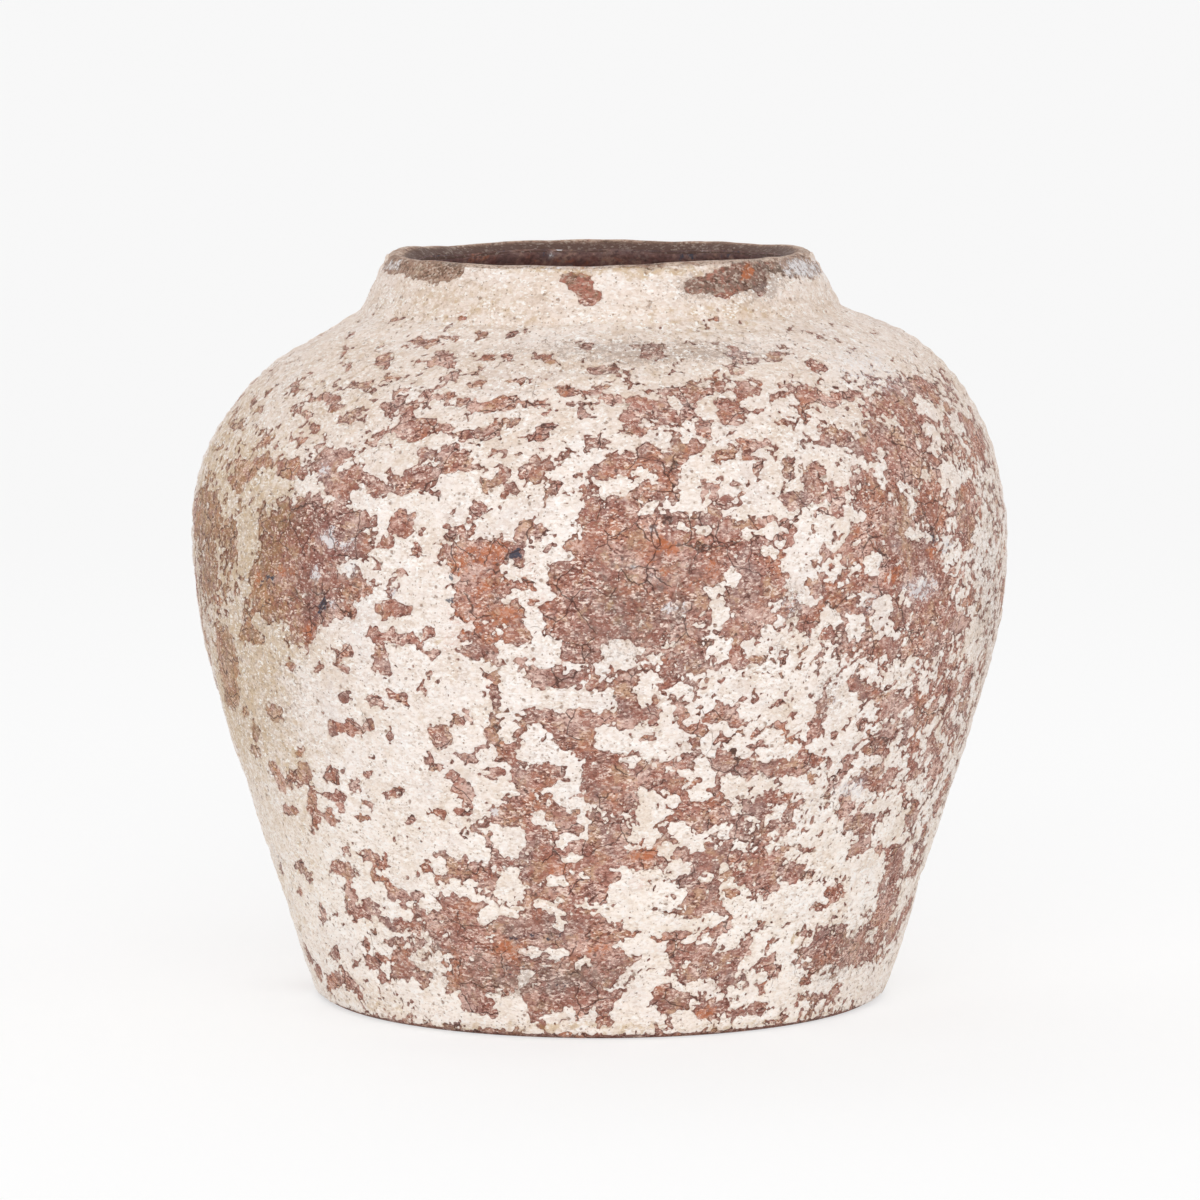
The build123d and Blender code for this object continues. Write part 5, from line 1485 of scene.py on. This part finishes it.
def lime_coat():
    """Matt cream lime, pitted and slightly rubbed, with warm and grey soiling, and painted shade
    higher up.
    """
    made, tree, shader = finish("lime_coat")
    mottle = use(tree, MOTTLE, Deep_tone=(0.83, 0.71, 0.6), Middle_tone=(0.97, 0.885, 0.815),
                 Pale_tone=(0.985, 0.94, 0.9), Patches_per_metre=34.0, Flecks_per_metre=340.0,
                 Deep_share=0.7, Pale_share=0.8)
    line = use(tree, STREAKS, Lines_per_metre=420.0)["Line"]
    tone = blend(tree, fade(tree, line, 0.5, 0.34, 0, 0.2), mottle["Tone"], (0.66, 0.5, 0.4))
    tone = lay_tinges(tree, tone, (
        ((0.76, 0.61, 0.47), 0.36, 0.45, 45.0, 5.5), ((0.8, 0.7, 0.65), 0.3, 0.45, 28.0, 8.7)))
    tone = lay_stains(tree, tone, (("ochre", 0.6), ("rust", 0.4)), 0.45)
    # Painted shade by height: the coat is multiplied a little darker from the lower wall up, and
    # darker and warmer again from the shoulder up, so the low flare reads lighter and the top
    # darker.
    level = tree.nodes.new("ShaderNodeSeparateXYZ")
    tree.links.new(jar_places(tree), level.inputs[0])
    for low, high, painted_shade in (
            (0.06, 0.16, (0.945, 0.93, 0.935)), (0.24, 0.31, (0.95, 0.915, 0.89))):
        tone = blend(tree, fade(tree, level.outputs["Z"], low, high), tone, painted_shade, "MULTIPLY")
    dirt = use(tree, STAIN, Stain=stained(tree, "grime"), Marks_per_metre=520.0,
               Softness=0.12)["Mark"]
    tone = lay(tree, tone, dirt, 0.6, (0.34, 0.24, 0.19))
    grit = use(tree, GRIT, Tone=tone, Dark_grit=(0.52, 0.38, 0.29), Light_grit=(0.99, 0.97, 0.94),
               Grains_per_metre=1300.0, Dark_share=0.5, Light_share=0.8)
    thin = reckon(tree, "MULTIPLY", fade(tree, stained(tree, "lime"), 0.5, 0.0), 0.5)
    worn = use(tree, STAIN, Stain=thin, Marks_per_metre=480.0)["Mark"]
    tone = lay(tree, grit["Tone"], worn, 0.55, (0.5, 0.31, 0.23))
    tone = lay_stains(tree, tone, (("iron", 0.8), ("bloom_and_highlight", 0.55)), 0.2)
    pit = use(tree, PITS, Pits_per_metre=230.0, Amount=0.26)["Pit"]
    tiny = use(tree, PITS, Pits_per_metre=520.0, Amount=0.4)["Pit"]
    crack = use(tree, CRACKS, Cracks_per_metre=58.0, Amount=0.42, Width=0.012)["Crack"]
    dark = deeper(tree, (pit, 0.7), (crack, 0.75))
    tone = blend(tree, dark, tone, (0.3, 0.17, 0.11))
    tone = lay(tree, tone, tiny, 0.8, (0.38, 0.25, 0.17))
    surfaced(tree, shader, tone, mottle["Mix"], (0.8, 0.94), 0.2, (
        (line, 0.2), (grit["Grain"], 0.6), (mottle["Mix"], 0.9), (dark, -0.9), (tiny, -0.5)), 0.7)
    return made


def inner_glaze():
    """Thin dull maroon-brown glaze with orange and dark mottles and old residue."""
    made, tree, shader = finish("inner_glaze")
    mottle = use(tree, MOTTLE, Deep_tone=(0.075, 0.035, 0.036), Middle_tone=(0.18, 0.09, 0.078),
                 Pale_tone=(0.36, 0.21, 0.16), Patches_per_metre=75.0, Flecks_per_metre=420.0,
                 Deep_share=0.8, Pale_share=0.75)
    line = use(tree, STREAKS, Lines_per_metre=300.0)["Line"]
    tone = blend(tree, fade(tree, line, 0.5, 0.38, 0, 0.4), mottle["Tone"], (0.06, 0.035, 0.035))
    tone = lay_stains(tree, tone, (("rose", 0.35), ("ochre", 0.4), ("grime", 0.35), ("rust", 0.55)))
    grit = use(tree, GRIT, Tone=tone, Dark_grit=(0.035, 0.02, 0.022), Light_grit=(0.38, 0.28, 0.24),
               Grains_per_metre=800.0, Dark_share=0.5, Light_share=0.3)
    speck = use(tree, SPECKS, Specks_per_metre=420.0, Amount=0.22)["Speck"]
    tone = lay(tree, grit["Tone"], speck, 0.3, (0.4, 0.33, 0.29))
    tone = lay_stains(tree, tone, (("iron", 0.9), ("bloom_and_highlight", 0.8)), 0.2)
    surfaced(tree, shader, tone, mottle["Mix"], (0.5, 0.78), 0.4, (
        (line, 0.5), (mottle["Mix"], 0.8), (grit["Grain"], 0.6)), 0.5)
    return made


# ---- The jar.
FINISHES = {"clay": fired_clay(), "rim_clay": rim_clay(), "lime_coat": lime_coat(),
            "inner_glaze": inner_glaze()}


def dress(piece, node, slot):
    """Gives a piece its finish and puts it in its node's place."""
    piece.data.materials.append(FINISHES[slot])
    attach(piece, "root")
    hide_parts(node)


for number, node in enumerate(CLAY_PIECES):
    dress(clay_piece(number), node, "rim_clay" if node == "rim_lip" else "clay")
dress(glaze_piece(), "inner_glaze", "inner_glaze")
field = coat_field()
start = 0
for node, top_level in COAT_BANDS:
    end = len(COAT_RUNS) - 1
    if top_level:
        end = int(np.argmin(np.abs(COAT_RUNS - run_outside(top_level))))
    dress(coat_piece(node + "_flakes", field, start, end), node, "lime_coat")
    start = end


# ---- The floor, the light and the camera.
def studio_floor():
    """A plain pale floor that reads a little darker far behind and keeps the jar's shadow."""
    mesh = bpy.data.meshes.new("studio_floor")
    side = 60
    corners = [(-side, -side, 0), (side, -side, 0), (side, side, 0), (-side, side, 0)]
    mesh.from_pydata(corners, [], [(0, 1, 2, 3)])
    floor = bpy.data.objects.new("studio_floor", mesh)
    bpy.context.scene.collection.objects.link(floor)
    made, tree, shader = finish("studio_floor")
    shader.inputs["Roughness"].default_value = 0.95
    shader.inputs["Specular IOR Level"].default_value = 0.0
    shader.inputs["Emission Color"].default_value = (1, 1, 1, 1)
    seen = tree.nodes.new("ShaderNodeLightPath").outputs["Is Camera Ray"]
    # Painted light: camera rays see a darker floor colour with a glow added, so the jar's shadow
    # stays faint, and the glow fades a little far behind.
    plain, shown = (0.97, 0.97, 0.97), (0.42, 0.42, 0.42)
    tree.links.new(blend(tree, seen, plain, shown), shader.inputs["Base Color"])
    depth = tree.nodes.new("ShaderNodeSeparateXYZ")
    tree.links.new(tree.nodes.new("ShaderNodeTexCoord").outputs["Object"], depth.inputs[0])
    backdrop_glow = fade(tree, depth.outputs["Y"], -0.6, 2.5, 0.605, 0.548)
    tree.links.new(reckon(tree, "MULTIPLY", seen, backdrop_glow), shader.inputs["Emission Strength"])
    mesh.materials.append(made)


def soft_sun(name, strength, wide, way):
    """A broad soft light that falls from a direction, the same over the whole scene."""
    lamp = bpy.data.lights.new(name, "SUN")
    lamp.energy = strength
    lamp.angle = math.radians(wide)
    shown = bpy.data.objects.new(name, lamp)
    shown.rotation_euler = Vector(way).to_track_quat("Z", "Y").to_euler()
    bpy.context.scene.collection.objects.link(shown)


ROUND_LIGHT, SEEN_LIGHT = 0.6, 0.34


def pale_world():
    """Even light from all round, and a pale background where the camera or gloss sees it."""
    world = bpy.data.worlds.new("pale_world")
    world.use_nodes = True
    tree = world.node_tree
    back = tree.nodes["Background"]
    path = tree.nodes.new("ShaderNodeLightPath")
    seen = reckon(tree, "MAXIMUM", path.outputs["Is Camera Ray"], path.outputs["Is Glossy Ray"])
    back.inputs["Color"].default_value = (1, 1, 1, 1)
    strength = reckon(tree, "ADD", ROUND_LIGHT, reckon(tree, "MULTIPLY", seen, SEEN_LIGHT))
    tree.links.new(strength, back.inputs["Strength"])
    bpy.context.scene.world = world


def front_camera():
    """The camera of the front view, a little above the lip and far off."""
    lens = bpy.data.cameras.new("front_camera")
    lens.lens = CAMERA_FOCUS / (2 * FRAME_MIDDLE) * SENSOR_WIDTH
    lens.clip_end = 500
    camera = bpy.data.objects.new("front_camera", lens)
    camera.location = CAMERA_AT
    back = Vector(CAMERA_AT) - Vector(CAMERA_AIM)
    camera.rotation_euler = back.to_track_quat("Z", "Y").to_euler()
    bpy.context.scene.collection.objects.link(camera)
    bpy.context.scene.camera = camera


studio_floor()
soft_sun("front_light", 2.08, 80, (-0.06, -1.0, 0.07))
soft_sun("fill_light", 0.45, 120, (0.9, -0.7, 0.35))
soft_sun("back_light", 1.1, 110, (-0.3, 1.0, 0.3))
pale_world()
front_camera()
bpy.context.scene.view_settings.view_transform = "Standard"
